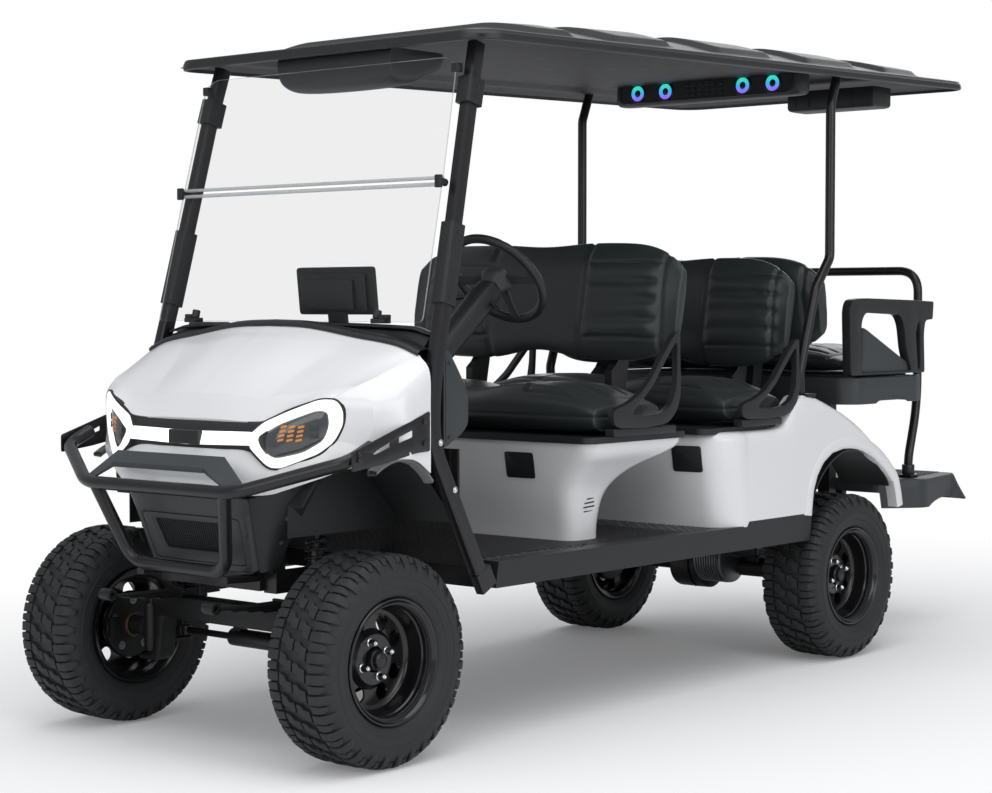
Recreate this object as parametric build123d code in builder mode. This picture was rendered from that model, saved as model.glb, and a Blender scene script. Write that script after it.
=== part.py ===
from build123d import *
import os
from math import cos, radians, sin

# Six-seat electric golf cart, raised on off-road tyres.
# Millimetres. +Z is up, the ground is z = 0, the front looks along -Y and +X is the driver's (left) side.
# The origin is on the ground below the middle of the cart's overall box.

os.makedirs("parts", exist_ok=True)

# ---------------------------------------------------------------- driving dimensions
wheelbase = 2390.0
front_overhang = 313.0  # front axle to the front of the bumper tube
rear_overhang = 1088.0  # rear axle to the back edge of the foot platform
wheel_track = 1044.0  # between the wheels' middle planes
body_half_width = 600.0
floor_top = 520.0
rocker_bottom = 444.0
rim_height = 848.0  # top of the seat pods
roof_half_width = 650.0
roof_front_lip = 1988.0  # lower edge of the roof's lip at the front
roof_rise = 78.0  # how much higher that edge is at the rear
panel = 4.0  # moulded body panels
running_gap = 0.5  # radial play of a hub on its spindle
seat_gap = 2.0  # between soft parts and what carries them

# wheels
tyre_diameter = 584.0
tyre_width = 230.0
tread_width = 184.0
bead_radius = 152.0
rim_flange_radius = 172.0
rim_wall = 5.0
wheel_dish = 92.0  # outer rim lip to the wheel disc
hub_radius = 46.0
spindle_radius = 20.0
wheel_holes = 8
wheel_hole_radius = 23.0
wheel_hole_circle = 104.0

# steering
kingpin_offset = 365.0  # kingpin to the cart's middle plane
kingpin_radius = 10.0
steering_arm = 120.0  # kingpin to the tie rod, along the cart
tie_rod_radius = 10.0
tie_rod_gap = 6.0  # open pivot between the steering arm and the rod's eye
steering_wheel_diameter = 340.0
steering_wheel_grip = 14.0
steering_wheel_place = (330.0, 774.0, 1330.0)  # x, distance behind the front axle, z
steering_wheel_tilt = 50.0  # the wheel's plane above the horizontal

# places along the cart, as distances behind the front axle
front_pod_face = 985.0
middle_pod_face = 1600.0
seat_pitch = 706.0
rear_box_face = 2484.0
rear_box_back = 3020.0
strut_foot = 412.0
rear_post_place = 2332.0

# ---------------------------------------------------------------- derived places
front_axle_y = (front_overhang - wheelbase - rear_overhang) / 2
rear_axle_y = front_axle_y + wheelbase
axle_z = tyre_diameter / 2
tyre_radius = tyre_diameter / 2
wheel_x = wheel_track / 2
rocker_width = 55.0
rocker_inner = body_half_width - rocker_width
rocker_front_y = front_axle_y + 446
strut_width = 38.0
strut_depth = 50.0
strut_foot_x = body_half_width - 16
platform_back = wheelbase + rear_overhang  # distance behind the front axle
arch_front = (rear_axle_y - 244, floor_top + 20)
arch_top = (rear_axle_y + 30, axle_z + 458)
arch_rear = (rear_axle_y + 316, axle_z + 313)


# ---------------------------------------------------------------- shared constructions
def behind(distance):
    """Y of a place given by its distance behind the front axle."""
    return front_axle_y + distance


def placed(points):
    """(distance behind the front axle, z) pairs as (y, z) pairs."""
    return [(behind(distance), height) for distance, height in points]


def outline(plane, points, corner=0.0):
    """Closed face through the points, with every corner rounded by the same radius."""
    with BuildSketch(plane) as sketch:
        with BuildLine():
            Polyline(*points, close=True)
        make_face()
        if corner > 0:
            fillet(sketch.vertices(), radius=corner)
    return sketch.sketch


def slab(plane, points, start, end, corner=0.0):
    """The outline pushed along the plane's normal, from start to end."""
    with BuildPart() as solid:
        extrude(outline(plane.offset(start), points, corner), amount=end - start)
    return solid.part


def round_bar(points, radius, corner):
    """Round bar along straight runs joined by arcs."""
    with BuildPart() as bar:
        with BuildLine() as path:
            FilletPolyline(*points, radius=corner)
        with BuildSketch(Plane(origin=path.line @ 0, z_dir=path.line % 0)):
            Circle(radius)
        sweep()
    return bar.part


def flat_bar(points, width, depth):
    """Rectangular bar along straight runs with mitred corners; width lies across the cart."""
    with BuildPart() as bar:
        with BuildLine() as path:
            Polyline(*points)
        with BuildSketch(Plane(origin=path.line @ 0, x_dir=(1, 0, 0), z_dir=path.line % 0)):
            Rectangle(width, depth)
        sweep(transition=Transition.RIGHT)
    return bar.part


def save(solid, name):
    solid.label = name
    export_step(solid, f"parts/{name}.step")


# ---------------------------------------------------------------- wheels
# name, side (+1 left), axle's y
wheel_places = [
    ("front_left", 1, front_axle_y),
    ("front_right", -1, front_axle_y),
    ("rear_left", 1, rear_axle_y),
    ("rear_right", -1, rear_axle_y),
]
bead_half = 88.0
lip_thickness = 10.0
disc_outer_face = bead_half + 2 + lip_thickness - wheel_dish
disc_thickness = 6.0
hub_length = 46.0


tyre_lugs = 20  # round each half of the tread; the halves are staggered
lug_pitch = 360 / tyre_lugs
lug_half_angle = 5.0
lug_depth = 11.0
shoulder_radius = tyre_radius - 34  # over the lugs, at the sidewall
sidewall_radius = tyre_radius - 68


def lug_ring(plane, radius, turn):
    """Toothed ring: the lugs' corners near the radius, lug_depth lower between them."""
    points = []
    for lug in range(tyre_lugs):
        middle = turn + lug * lug_pitch
        edges = [(-1, radius - lug_depth), (-1, radius), (1, radius), (1, radius - lug_depth)]
        for way, flat in edges:
            angle = radians(middle + way * lug_half_angle)
            reach = flat / cos(radians(lug_pitch / 2 - lug_half_angle))
            points.append((reach * cos(angle), reach * sin(angle)))
    return outline(plane, points)


def facet_ring(plane, radius):
    """Polygon with its flats at the radius, as many sides as a tread half has lugs."""
    with BuildSketch(plane) as sketch:
        RegularPolygon(radius=radius, side_count=tyre_lugs, major_radius=False)
    return sketch.sketch


def tyre_body(facing):
    """Tyre about the facing plane's axis: lugs down over both shoulders, open for the rim."""
    tread_rings = []
    dish_rings = []
    for way, turn in ((1, 90), (-1, 90 + lug_pitch / 2)):
        flat_end = lug_ring(facing.offset(way * (tread_width / 2 - 16)), tyre_radius, turn)
        tread_rings.append([lug_ring(facing, tyre_radius, turn), flat_end])
        tread_rings.append([flat_end, lug_ring(facing.offset(way * tyre_width / 2), shoulder_radius, turn)])
        bead_side = facet_ring(facing.offset(way * bead_half), rim_flange_radius + 3)
        dish_rings.append([bead_side, facet_ring(facing.offset(way * (tyre_width / 2 + 1)), sidewall_radius)])
    bore = facet_ring(facing.offset(-bead_half - 1), bead_radius + running_gap)
    with BuildPart() as body:
        for rings in tread_rings:
            loft(rings, ruled=True)
        # the dish of each sidewall and the seat of the beads
        for rings in dish_rings:
            loft(rings, ruled=True, mode=Mode.SUBTRACT)
        extrude(bore, amount=2 * bead_half + 2, mode=Mode.SUBTRACT)
    return body.part


def rim_outline():
    """Section of the rim's barrel with a lip on each side."""
    barrel_in = bead_radius - rim_wall
    lip_in = bead_half + 2
    lip_out = lip_in + lip_thickness
    side = [
        (lip_in, bead_radius),
        (lip_in, rim_flange_radius),
        (lip_out, rim_flange_radius),
        (lip_out, rim_flange_radius - rim_wall),
        (lip_in + 2, barrel_in),
    ]
    return side + [(-x, r) for x, r in reversed(side)]


for place, side, axle_y in wheel_places:
    centre = (side * wheel_x, axle_y, axle_z)
    axle = Axis(centre, (1, 0, 0))
    section_plane = Plane(origin=centre, x_dir=(side, 0, 0), z_dir=(0, -side, 0))
    facing = Plane(origin=centre, x_dir=(0, 1, 0), z_dir=(side, 0, 0))

    save(tyre_body(facing), f"tyre_{place}")

    with BuildPart() as rim:
        revolve(outline(section_plane, rim_outline()), axis=axle)
        with BuildSketch(facing.offset(disc_outer_face - disc_thickness)):
            Circle(bead_radius - rim_wall + 1)
            with PolarLocations(wheel_hole_circle, wheel_holes):
                Circle(wheel_hole_radius, mode=Mode.SUBTRACT)
        extrude(amount=disc_thickness)
        with BuildSketch(facing.offset(disc_outer_face - hub_length)):
            Circle(hub_radius)
        extrude(amount=hub_length + 14)
        with BuildSketch(facing.offset(disc_outer_face - hub_length)):
            Circle(spindle_radius + running_gap)
        extrude(amount=hub_length, mode=Mode.SUBTRACT)
    save(rim.part, f"rim_{place}")

spindle_end = wheel_x + disc_outer_face - 5
spindle_shoulder = wheel_x + disc_outer_face - hub_length - 5
brake_radius = 100.0
brake_depth = 34.0

# ---------------------------------------------------------------- front axle
beam_bottom = axle_z + 38
beam_top = axle_z + 108
beam_depth = 60.0
yoke_inner = kingpin_offset - 65
yoke_outer = kingpin_offset + 27
yoke_wall = 12.0
yoke_bottom = axle_z - 93
pivot_gap = 5.0

with BuildPart() as front_axle_beam:
    beam_middle = (beam_bottom + beam_top) / 2
    with Locations((0, front_axle_y, beam_middle)):
        Box(2 * yoke_inner + 2 * yoke_wall, beam_depth, beam_top - beam_bottom)
    yoke_height = beam_top - yoke_bottom
    with Locations((yoke_inner + yoke_wall / 2, front_axle_y, yoke_bottom + yoke_height / 2)):
        Box(yoke_wall, beam_depth, yoke_height)
    for plate_z in (yoke_bottom, beam_top - yoke_wall):
        with Locations(((yoke_inner + yoke_outer) / 2, front_axle_y, plate_z + yoke_wall / 2)):
            Box(yoke_outer - yoke_inner, beam_depth, yoke_wall)
    with BuildSketch(Plane.XY.offset(yoke_bottom)):
        with Locations((kingpin_offset, front_axle_y)):
            Circle(kingpin_radius)
    extrude(amount=yoke_height)
    mirror(about=Plane.YZ)
save(front_axle_beam.part, "front_axle_beam")

barrel_bottom = yoke_bottom + yoke_wall + pivot_gap
barrel_top = beam_top - yoke_wall - pivot_gap
barrel_radius = 24.0
arm_width = 30.0
arm_thickness = 12.0
arm_z = axle_z - 52
arm_lean = 15.0  # the arm's eye sits this much nearer the middle plane

for side_name, side in (("left", 1), ("right", -1)):
    pin_x = side * kingpin_offset
    eye = (side * (kingpin_offset - arm_lean), front_axle_y + steering_arm)
    with BuildPart() as knuckle:
        with BuildSketch(Plane.XY.offset(barrel_bottom)):
            with Locations((pin_x, front_axle_y)):
                Circle(barrel_radius)
        extrude(amount=barrel_top - barrel_bottom)
        spindle_plane = Plane(origin=(pin_x, front_axle_y, axle_z), x_dir=(0, 1, 0), z_dir=(side, 0, 0))
        with BuildSketch(spindle_plane):
            Circle(spindle_radius)
        extrude(amount=spindle_end - kingpin_offset)
        with BuildSketch(spindle_plane):
            Circle(spindle_radius + 8)
        extrude(amount=spindle_shoulder - kingpin_offset)
        with BuildSketch(spindle_plane.offset(spindle_shoulder - kingpin_offset - brake_depth)):
            Circle(brake_radius)
        extrude(amount=brake_depth)
        with BuildSketch(Plane.XY.offset(arm_z)):
            with BuildLine():
                Line((pin_x, front_axle_y), eye)
            trace(line_width=arm_width)
            with Locations(eye):
                Circle(arm_width / 2 + 3)
        extrude(amount=arm_thickness)
        with BuildSketch(Plane.XY.offset(barrel_bottom)):
            with Locations((pin_x, front_axle_y)):
                Circle(kingpin_radius + running_gap)
        extrude(amount=barrel_top - barrel_bottom, mode=Mode.SUBTRACT)
    save(knuckle.part, f"knuckle_{side_name}")

# ---------------------------------------------------------------- steering gear and tie rod
eye_z = arm_z + arm_thickness + tie_rod_gap
eye_height = 26.0
eye_radius = 16.0
rod_z = eye_z + eye_height / 2
rod_y = front_axle_y + steering_arm
rod_half = kingpin_offset - arm_lean
rack_half = 140.0
rack_radius = 26.0

with BuildPart() as tie_rod:
    with BuildSketch(Plane(origin=(-rod_half, rod_y, rod_z), x_dir=(0, 1, 0), z_dir=(1, 0, 0))):
        Circle(tie_rod_radius)
    extrude(amount=2 * rod_half)
    with BuildSketch(Plane.XY.offset(eye_z)):
        with Locations((-rod_half, rod_y), (rod_half, rod_y)):
            Circle(eye_radius)
    extrude(amount=eye_height)
save(tie_rod.part, "tie_rod")

pinion_x = 90.0
with BuildPart() as steering_gear:
    rack_plane = Plane(origin=(-rack_half, rod_y, rod_z), x_dir=(0, 1, 0), z_dir=(1, 0, 0))
    with BuildSketch(rack_plane):
        Circle(rack_radius)
    extrude(amount=2 * rack_half)
    with BuildSketch(Plane.XY.offset(rod_z)):
        with Locations((pinion_x, rod_y)):
            Circle(22)
    extrude(amount=80)
    bracket_front = front_axle_y + beam_depth / 2
    for bracket_x in (-rack_half + 30, rack_half - 60):
        with Locations((bracket_x, (bracket_front + rod_y) / 2, beam_bottom + 6)):
            Box(30, rod_y - bracket_front, 12)
        with Locations((bracket_x, rod_y, (rod_z + beam_bottom) / 2 + 6)):
            Box(30, 30, beam_bottom + 12 - rod_z)
    with BuildSketch(rack_plane):
        Circle(tie_rod_radius + 5)
    extrude(amount=2 * rack_half, mode=Mode.SUBTRACT)
save(steering_gear.part, "steering_gear")

# ---------------------------------------------------------------- lower front panel
fascia_wall = 5.0
fascia_low = (217.0, behind(-124), 512.0)  # front edge's half width, y, z
fascia_high = (243.0, behind(-193), 722.0)
fascia_back = behind(-60)
fascia_spread = 45.0  # how much wider the panel is at its back edge


def fascia_wall_line(half, front_y):
    """Closed section of the panel's wall at one height."""
    with BuildSketch() as section:
        with BuildLine():
            Polyline(
                (-half - fascia_spread, fascia_back), (-half, front_y), (half, front_y),
                (half + fascia_spread, fascia_back),
            )
            offset(amount=fascia_wall, side=Side.LEFT)
        make_face()
    return section.sketch


with BuildPart() as lower_fascia:
    for half, front_y, height in (fascia_low, fascia_high):
        with BuildSketch(Plane.XY.offset(height)):
            add(fascia_wall_line(half, front_y))
    loft()
save(lower_fascia.part, "lower_fascia")

# ---------------------------------------------------------------- frame
rail_x = 215.0
rail_width = 50.0
rail_bottom = 450.0
rail_top = floor_top - 12
rail_front_y = behind(-70)
rail_back_y = behind(2980)
box_bottom = 893.0
box_top = 990.0
outrigger_depth = 50.0
cross_depth = 40.0
front_cross = -65.0
tower_place = -60.0
damper_plate_z = 735.0
plate_thickness = 12.0
fascia_stay_z = 620.0
box_posts = (rear_box_face + 56, rear_box_back - 140)

with BuildPart() as frame_rails:
    rail_middle = (rail_front_y + rail_back_y) / 2
    rail_height = rail_top - rail_bottom
    with Locations((rail_x, rail_middle, rail_bottom + rail_height / 2)):
        Box(rail_width, rail_back_y - rail_front_y, rail_height)
    # outriggers that carry the rockers, the cage and the rear body
    strut_reach = strut_foot_x - strut_width / 2
    for outrigger, outer_end in (
        (strut_foot + 6, strut_reach), (1000, rocker_inner), (1640, rocker_inner), (2100, rocker_inner),
    ):
        reach = outer_end - rail_x
        with Locations((rail_x + reach / 2, behind(outrigger), rail_bottom + rail_height / 2)):
            Box(reach, outrigger_depth, rail_height)
    mirror(about=Plane.YZ)
    for cross in (front_cross, strut_foot + 6, 1000, 1640, 2100, *box_posts):
        with Locations((0, behind(cross), rail_bottom + rail_height / 2)):
            Box(2 * rail_x - rail_width, cross_depth, rail_height - 10)
    add(lower_fascia.part, mode=Mode.SUBTRACT)

# bolted on top of the rails: damper towers with a stay to the lower panel, posts of the rear seat box
with BuildPart() as frame_towers:
    tower_head = damper_plate_z + plate_thickness / 2
    with Locations((rail_x, behind(tower_place), (rail_top + tower_head) / 2)):
        Box(rail_width, outrigger_depth, tower_head - rail_top)
    with Locations((rail_x + 40, behind(55), damper_plate_z)):
        Box(130, 60, plate_thickness)
    with Locations((rail_x, behind(0), damper_plate_z)):
        Box(rail_width, 120, plate_thickness)
    with Locations((rail_x - 10, behind(tower_place - 60), fascia_stay_z)):
        Box(30, 80, plate_thickness)
    for post in box_posts:
        with Locations((rail_x, behind(post), (rail_top + box_bottom) / 2)):
            Box(rail_width, outrigger_depth, box_bottom - rail_top)
    mirror(about=Plane.YZ)
    add(lower_fascia.part, mode=Mode.SUBTRACT)
save(Compound(frame_rails.solids() + frame_towers.solids()), "frame_rails")


def leaf_spring(axle_middle_y, seat_z, half_length):
    """One pack of leaves for the left side: seat on the axle, eyes hung under the rail."""
    ends = rail_bottom - 18
    with BuildPart() as spring:
        with BuildSketch(Plane.YZ.offset(rail_x - 22)):
            with BuildLine():
                low = ThreePointArc(
                    (axle_middle_y - half_length, ends - 12),
                    (axle_middle_y, seat_z),
                    (axle_middle_y + half_length, ends - 12),
                )
                high = ThreePointArc(
                    (axle_middle_y - half_length, ends),
                    (axle_middle_y, seat_z + 24),
                    (axle_middle_y + half_length, ends),
                )
                Line(low @ 0, high @ 0)
                Line(low @ 1, high @ 1)
            make_face()
            with Locations((axle_middle_y - half_length, ends), (axle_middle_y + half_length, ends)):
                Circle(18)
        extrude(amount=44)
    return spring.part


damper_x = 275.0
damper_foot = (damper_x, front_axle_y + 45, beam_top)
damper_head = (damper_x, front_axle_y + 55, damper_plate_z - plate_thickness / 2)
with BuildPart() as front_suspension:
    add(leaf_spring(front_axle_y, beam_top, 290))
    damper_axis = Plane(origin=damper_foot, z_dir=Vector(*damper_head) - Vector(*damper_foot))
    damper_length = (Vector(*damper_head) - Vector(*damper_foot)).length
    with Locations((damper_x, front_axle_y + 45, beam_top + 5)):
        Box(40, 40, 10)
    with BuildSketch(damper_axis.offset(4)):
        Circle(12)
    extrude(amount=damper_length - 10)
    with BuildSketch(damper_axis.offset(30)):
        Circle(32)
    extrude(amount=190)
    with BuildSketch(damper_axis.offset(220)):
        Circle(24)
    extrude(amount=90)
    mirror(about=Plane.YZ)
save(front_suspension.part, "front_suspension")

# ---------------------------------------------------------------- rear axle and drive
axle_tube_radius = 34.0
spring_seat = axle_z + 46
with BuildPart() as rear_axle:
    cross_axis = Plane(origin=(0, rear_axle_y, axle_z), x_dir=(0, 1, 0), z_dir=(1, 0, 0))
    with BuildSketch(cross_axis):
        Circle(axle_tube_radius)
    extrude(amount=spindle_shoulder, both=True)
    with BuildSketch(cross_axis):
        Circle(spindle_radius)
    extrude(amount=spindle_end, both=True)
    with BuildSketch(cross_axis.offset(spindle_shoulder - brake_depth)):
        Circle(brake_radius)
    extrude(amount=brake_depth)
    with BuildSketch(cross_axis.offset(-spindle_shoulder)):
        Circle(brake_radius)
    extrude(amount=brake_depth)
    # differential housing, with the motor beside it
    with BuildSketch(cross_axis.offset(-120)):
        Circle(92)
    extrude(amount=150)
    motor_axis = Plane(origin=(30, rear_axle_y - 60, axle_z + 30), x_dir=(0, 1, 0), z_dir=(1, 0, 0))
    with BuildSketch(motor_axis):
        Circle(88)
    extrude(amount=130)
    for seat_x in (-rail_x, rail_x):
        with Locations((seat_x, rear_axle_y, (axle_z + spring_seat) / 2)):
            Box(60, 60, spring_seat - axle_z)
save(rear_axle.part, "rear_axle")

with BuildPart() as rear_suspension:
    add(leaf_spring(rear_axle_y, spring_seat, 400))
    mirror(about=Plane.YZ)
save(rear_suspension.part, "rear_suspension")

with BuildPart() as power_unit:
    with Locations((0, behind(1870), floor_top + 125)):
        Box(640, 380, 250)
save(power_unit.part, "power_unit")

# ---------------------------------------------------------------- floor and rockers
floor_thickness = 12.0
toe_outline = placed(
    [(388, floor_top - 12), (330, 640), (330, 846), (336, 846), (336, 641), (394, floor_top - 12)]
)
mat_thickness = 3.0
with BuildPart() as floor_pan:
    floor_front = behind(388)
    floor_back = behind(2130)
    with Locations((0, (floor_front + floor_back) / 2, floor_top - floor_thickness / 2)):
        Box(2 * rocker_inner, floor_back - floor_front, floor_thickness)
    add(slab(Plane.YZ, toe_outline, 40 - body_half_width, body_half_width - 40))
    # raised tread of the front footwell
    mat_front = behind(strut_foot + 50)
    mat_back = behind(front_pod_face - 20)
    with Locations((0, (mat_front + mat_back) / 2, floor_top + mat_thickness / 2)):
        Box(2 * rocker_inner - 40, mat_back - mat_front, mat_thickness)
save(floor_pan.part, "floor_pan")

rocker_step = behind(1745)
rocker_outline = [
    (rocker_front_y, rocker_bottom),
    (arch_front[0] - 10, rocker_bottom - 4),
    (arch_front[0], arch_front[1] - 3),
    (rocker_step + 12, arch_front[1] - 3),
    (rocker_step, floor_top),
    (rocker_front_y + 14, floor_top),
]
with BuildPart() as rockers:
    add(slab(Plane.YZ, rocker_outline, rocker_inner, body_half_width, corner=3))
    mirror(about=Plane.YZ)
save(rockers.part, "rockers")

# ---------------------------------------------------------------- front cowl and lamps
cowl_back = behind(225)
cowl_top = 1196.0
cowl_nose = behind(-203)
cowl_half = body_half_width
strut_corner_inner = body_half_width - 50
cowl_windscreen_edge = (body_half_width - 33, 1112.0)
cowl_crown_half = body_half_width - 170
cowl_bottom = 700.0
chin_depth = 43.0


def cowl_plan(inset):
    """The cowl's outline from above."""
    corner = [
        (cowl_half - 270, behind(-168)), (cowl_half - 150, behind(-84)), (cowl_half - 45, behind(-18)),
        (cowl_half, behind(62)), (cowl_half, cowl_back),
    ]
    right_corner = [(-x, y) for x, y in reversed(corner)]
    chin_half = cowl_half - 360
    with BuildSketch(Plane.XY.offset(cowl_bottom)) as plan:
        with BuildLine():
            Polyline(
                (-chin_half, cowl_nose + 8), (0, cowl_nose), (chin_half, cowl_nose + 8), *corner, *right_corner,
                close=True,
            )
        make_face()
        offset(amount=-inset)
    return plan.sketch


def cowl_form(inset):
    """The cowl's closed form, with its skin moved in by inset; the back stays open."""
    with BuildPart() as form:
        with BuildSketch(Plane.YZ):
            with BuildLine() as lower:
                nose = Polyline(
                    (cowl_nose + 12, 725), (cowl_nose, 780), (cowl_nose + 25, 849), (cowl_nose + 20, 865),
                    (cowl_nose + 36, 908), (cowl_nose + 49, 931),
                )
                hood = ThreePointArc(nose @ 1, (behind(-20), 1092), (cowl_back, cowl_top + 6))
                Polyline(
                    hood @ 1,
                    (cowl_back, 769),
                    (behind(208), 769),
                    (behind(146), 819),
                    (behind(86), 836),
                    (behind(-13), 831),
                    (behind(-93), 782),
                    (behind(-168), 737),
                    nose @ 0,
                )
            make_face()
            offset(amount=-inset)
        extrude(amount=cowl_half, both=True)
        extrude(cowl_plan(inset), amount=600, mode=Mode.INTERSECT)
        with BuildSketch(Plane.XZ.offset(-cowl_back)):
            with BuildLine():
                crown = ThreePointArc(
                    (-cowl_crown_half, cowl_top - 34), (0, cowl_top), (cowl_crown_half, cowl_top - 34)
                )
                Polyline(
                    crown @ 1,
                    cowl_windscreen_edge,
                    (cowl_half, 1010),
                    (cowl_half, 700),
                    (-cowl_half, 700),
                    (-cowl_half, 1010),
                    (-cowl_windscreen_edge[0], cowl_windscreen_edge[1]),
                    crown @ 0,
                )
            make_face()
            offset(amount=-inset)
        extrude(amount=600, mode=Mode.INTERSECT)
    return form.part


# distance in from the cowl's side, z
lamp_corners = [(362, 884), (296, 818), (200, 822), (88, 868), (80, 948), (100, 990), (160, 1000), (205, 975)]
lamp_outline = [(cowl_half - inward, z) for inward, z in lamp_corners]
lamp_outline_right = [(-x, z) for x, z in lamp_outline]
band_half = cowl_half - 364
band_outline = [(-band_half, 906), (-band_half, 868), (0, 862), (band_half, 868), (band_half, 906)]
lamp_reach = behind(60)
lamp_glass = 9.0

# the cowl is open below, behind its chin
with BuildPart() as cowl_floor:
    extrude(cowl_plan(panel), amount=145)
    with Locations((0, cowl_nose + chin_depth + 300, cowl_bottom + 100)):
        Box(2 * cowl_half, 600, 300, mode=Mode.INTERSECT)
cowl_skin = cowl_form(0) - cowl_form(panel) - cowl_floor.part
lamp_cut = (
    slab(Plane.XZ, lamp_outline, -lamp_reach, -cowl_nose + 5)
    + slab(Plane.XZ, lamp_outline_right, -lamp_reach, -cowl_nose + 5)
    + slab(Plane.XZ, band_outline, -behind(-120), -cowl_nose + 5)
)
with BuildPart() as front_cowl:
    add(cowl_skin)
    add(lamp_cut, mode=Mode.SUBTRACT)
    # the struts pass the cowl's rear corners
    for corner_x in (-strut_corner_inner - 40, strut_corner_inner + 40):
        with Locations((corner_x, behind(156 + 40), 980)):
            Box(80, 80, 500, mode=Mode.SUBTRACT)
save(front_cowl.part, "front_cowl")

with BuildPart() as headlamps:
    add(cowl_form(0))
    add(cowl_form(lamp_glass), mode=Mode.SUBTRACT)
    add(lamp_cut, mode=Mode.INTERSECT)
save(headlamps.part, "headlamps")

# ---------------------------------------------------------------- front liners, lower panel and dashboard
liner_inner = 328.0
liner_outer = body_half_width - 40
liner_thickness = 4.0
liner_line = placed([(-112, 705), (-84, 796), (-13, 822), (86, 827), (140, 811), (205, 764), (326, 640)])
front_liner_back = behind(326)
liner_bottom = 615.0

with BuildPart() as front_wheel_liners:
    with BuildSketch(Plane.YZ.offset(liner_inner)):
        with BuildLine():
            Polyline(*liner_line, (front_liner_back, liner_bottom), (liner_line[0][0], liner_bottom), close=True)
        make_face()
    extrude(amount=liner_thickness)
    inner_line = [(y, z - liner_thickness) for y, z in reversed(liner_line)]
    add(slab(Plane.YZ, liner_line + inner_line, liner_inner + liner_thickness, liner_outer))
    # the liner stays inside the cowl's rounded corner
    with BuildSketch(Plane.XY.offset(liner_bottom)):
        with BuildLine():
            Polyline(
                (liner_inner, behind(-150)), (cowl_half - 160, behind(-76)),
                (cowl_half - 55, behind(-10)), (liner_outer, behind(10)), (liner_outer, front_liner_back),
                (liner_inner, front_liner_back), close=True,
            )
        make_face()
    extrude(amount=300, mode=Mode.INTERSECT)
    mirror(about=Plane.YZ)
save(front_wheel_liners.part, "front_wheel_liners")


dash_outline = placed([
    (229, 1199), (262, 1186), (330, 1060), (330, 850), (322, 850), (322, 1056), (256, 1180), (229, 1192),
])
column_hole_radius = 46.0
dash_half = body_half_width - 56
wheel_place_x = steering_wheel_place[0]
wheel_centre = Vector(wheel_place_x, behind(steering_wheel_place[1]), steering_wheel_place[2])
column_direction = Vector(0, -sin(radians(steering_wheel_tilt)), -cos(radians(steering_wheel_tilt)))

# ---------------------------------------------------------------- cage and windscreen
# distance in from the foot, distance behind the front axle, z, from the rocker up to the roof
strut_line = [
    (0, strut_foot, 448),
    (0, 190, 868),
    (4, 196, 1010),
    (18, 262, 1262),
    (46, 408, 1856),
    (60, 462, 2016),
]
with BuildPart() as front_struts:
    strut_path = [(strut_foot_x - inward, behind(d), z) for inward, d, z in strut_line]
    add(flat_bar(strut_path, strut_width, strut_depth))
    mirror(about=Plane.YZ)
save(front_struts.part, "front_struts")

screen_thickness = 5.0
screen_half = body_half_width - 55
screen_foot = (behind(194), 1204.0)
screen_fold = (behind(286), 1594.0)
screen_head = (behind(352), 1874.0)


def screen_pane(low, high, low_half, high_half):
    """One flat pane between two heights; low and high are (y, z)."""
    lean = Vector(0, high[0] - low[0], high[1] - low[1])
    pane_plane = Plane(origin=(0, *low), x_dir=(1, 0, 0), z_dir=Vector(1, 0, 0).cross(lean))
    corners = [(-low_half, 0), (low_half, 0), (high_half, lean.length), (-high_half, lean.length)]
    return slab(pane_plane, corners, 0, screen_thickness, corner=14)


fold_gap = 10.0
fold_slope = (screen_head[0] - screen_foot[0]) / (screen_head[1] - screen_foot[1])
save(screen_pane(screen_foot, screen_fold, screen_half + 12, screen_half - 6), "windscreen_lower")
upper_foot = (screen_fold[0] + fold_gap * fold_slope, screen_fold[1] + fold_gap)
save(screen_pane(upper_foot, screen_head, screen_half - 6, screen_half - 22), "windscreen_upper")

post_radius = 17.0
post_x = body_half_width - 48
roof_skin = 6.0
post_top = 2072.0
post_line = [
    (post_x, 2142, 940), (post_x, 2136, 1020), (post_x, 2238, 1310), (post_x, rear_post_place, 1420),
    (post_x, rear_post_place, 1960), (post_x, rear_post_place + 46, post_top),
]
with BuildPart() as rear_roof_posts:
    add(round_bar([(x, behind(d), z) for x, d, z in post_line], post_radius, 45))
    with Locations((post_x + 8, behind(2150), 940)):
        Box(66, 60, 12)
    mirror(about=Plane.YZ)
save(rear_roof_posts.part, "rear_roof_posts")

# ---------------------------------------------------------------- roof
roof_front = behind(333)
roof_back = behind(3181)
roof_length = roof_back - roof_front


def lip_z(y):
    """Height of the lower edge of the roof's lip, which climbs to the rear."""
    return roof_front_lip + roof_rise * (y - roof_front) / roof_length


# distance behind the front axle, height of the roof's crown above the lip's lower edge
crown_points = [
    (333, 31), (430, 39), (620, 71), (1000, 88), (1400, 96), (2450, 94), (2870, 83), (3030, 54), (3100, 38), (3181, 31),
]
# distance in from the roof's side, height above the lip's lower edge
side_fall = [(0, 31), (60, 42), (200, 83), (270, 94), (330, 98)]
# ribs across the crown: distances behind the front axle of the first and last edges of their tops
rib_bands = [(636, 834), (1006, 1334), (1556, 1909), (2106, 2449), (2636, 2894)]
rib_rise = 17.0
rib_side = 73.0  # in from the roof's side
rib_slope = 26.0  # length of the slope at a rib's edge


def crown_z(distance):
    """Height of the crown, between the two crown points beside the distance."""
    for (d0, rise0), (d1, rise1) in zip(crown_points, crown_points[1:]):
        if d0 <= distance <= d1:
            return lip_z(behind(distance)) + rise0 + (rise1 - rise0) * (distance - d0) / (d1 - d0)


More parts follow.
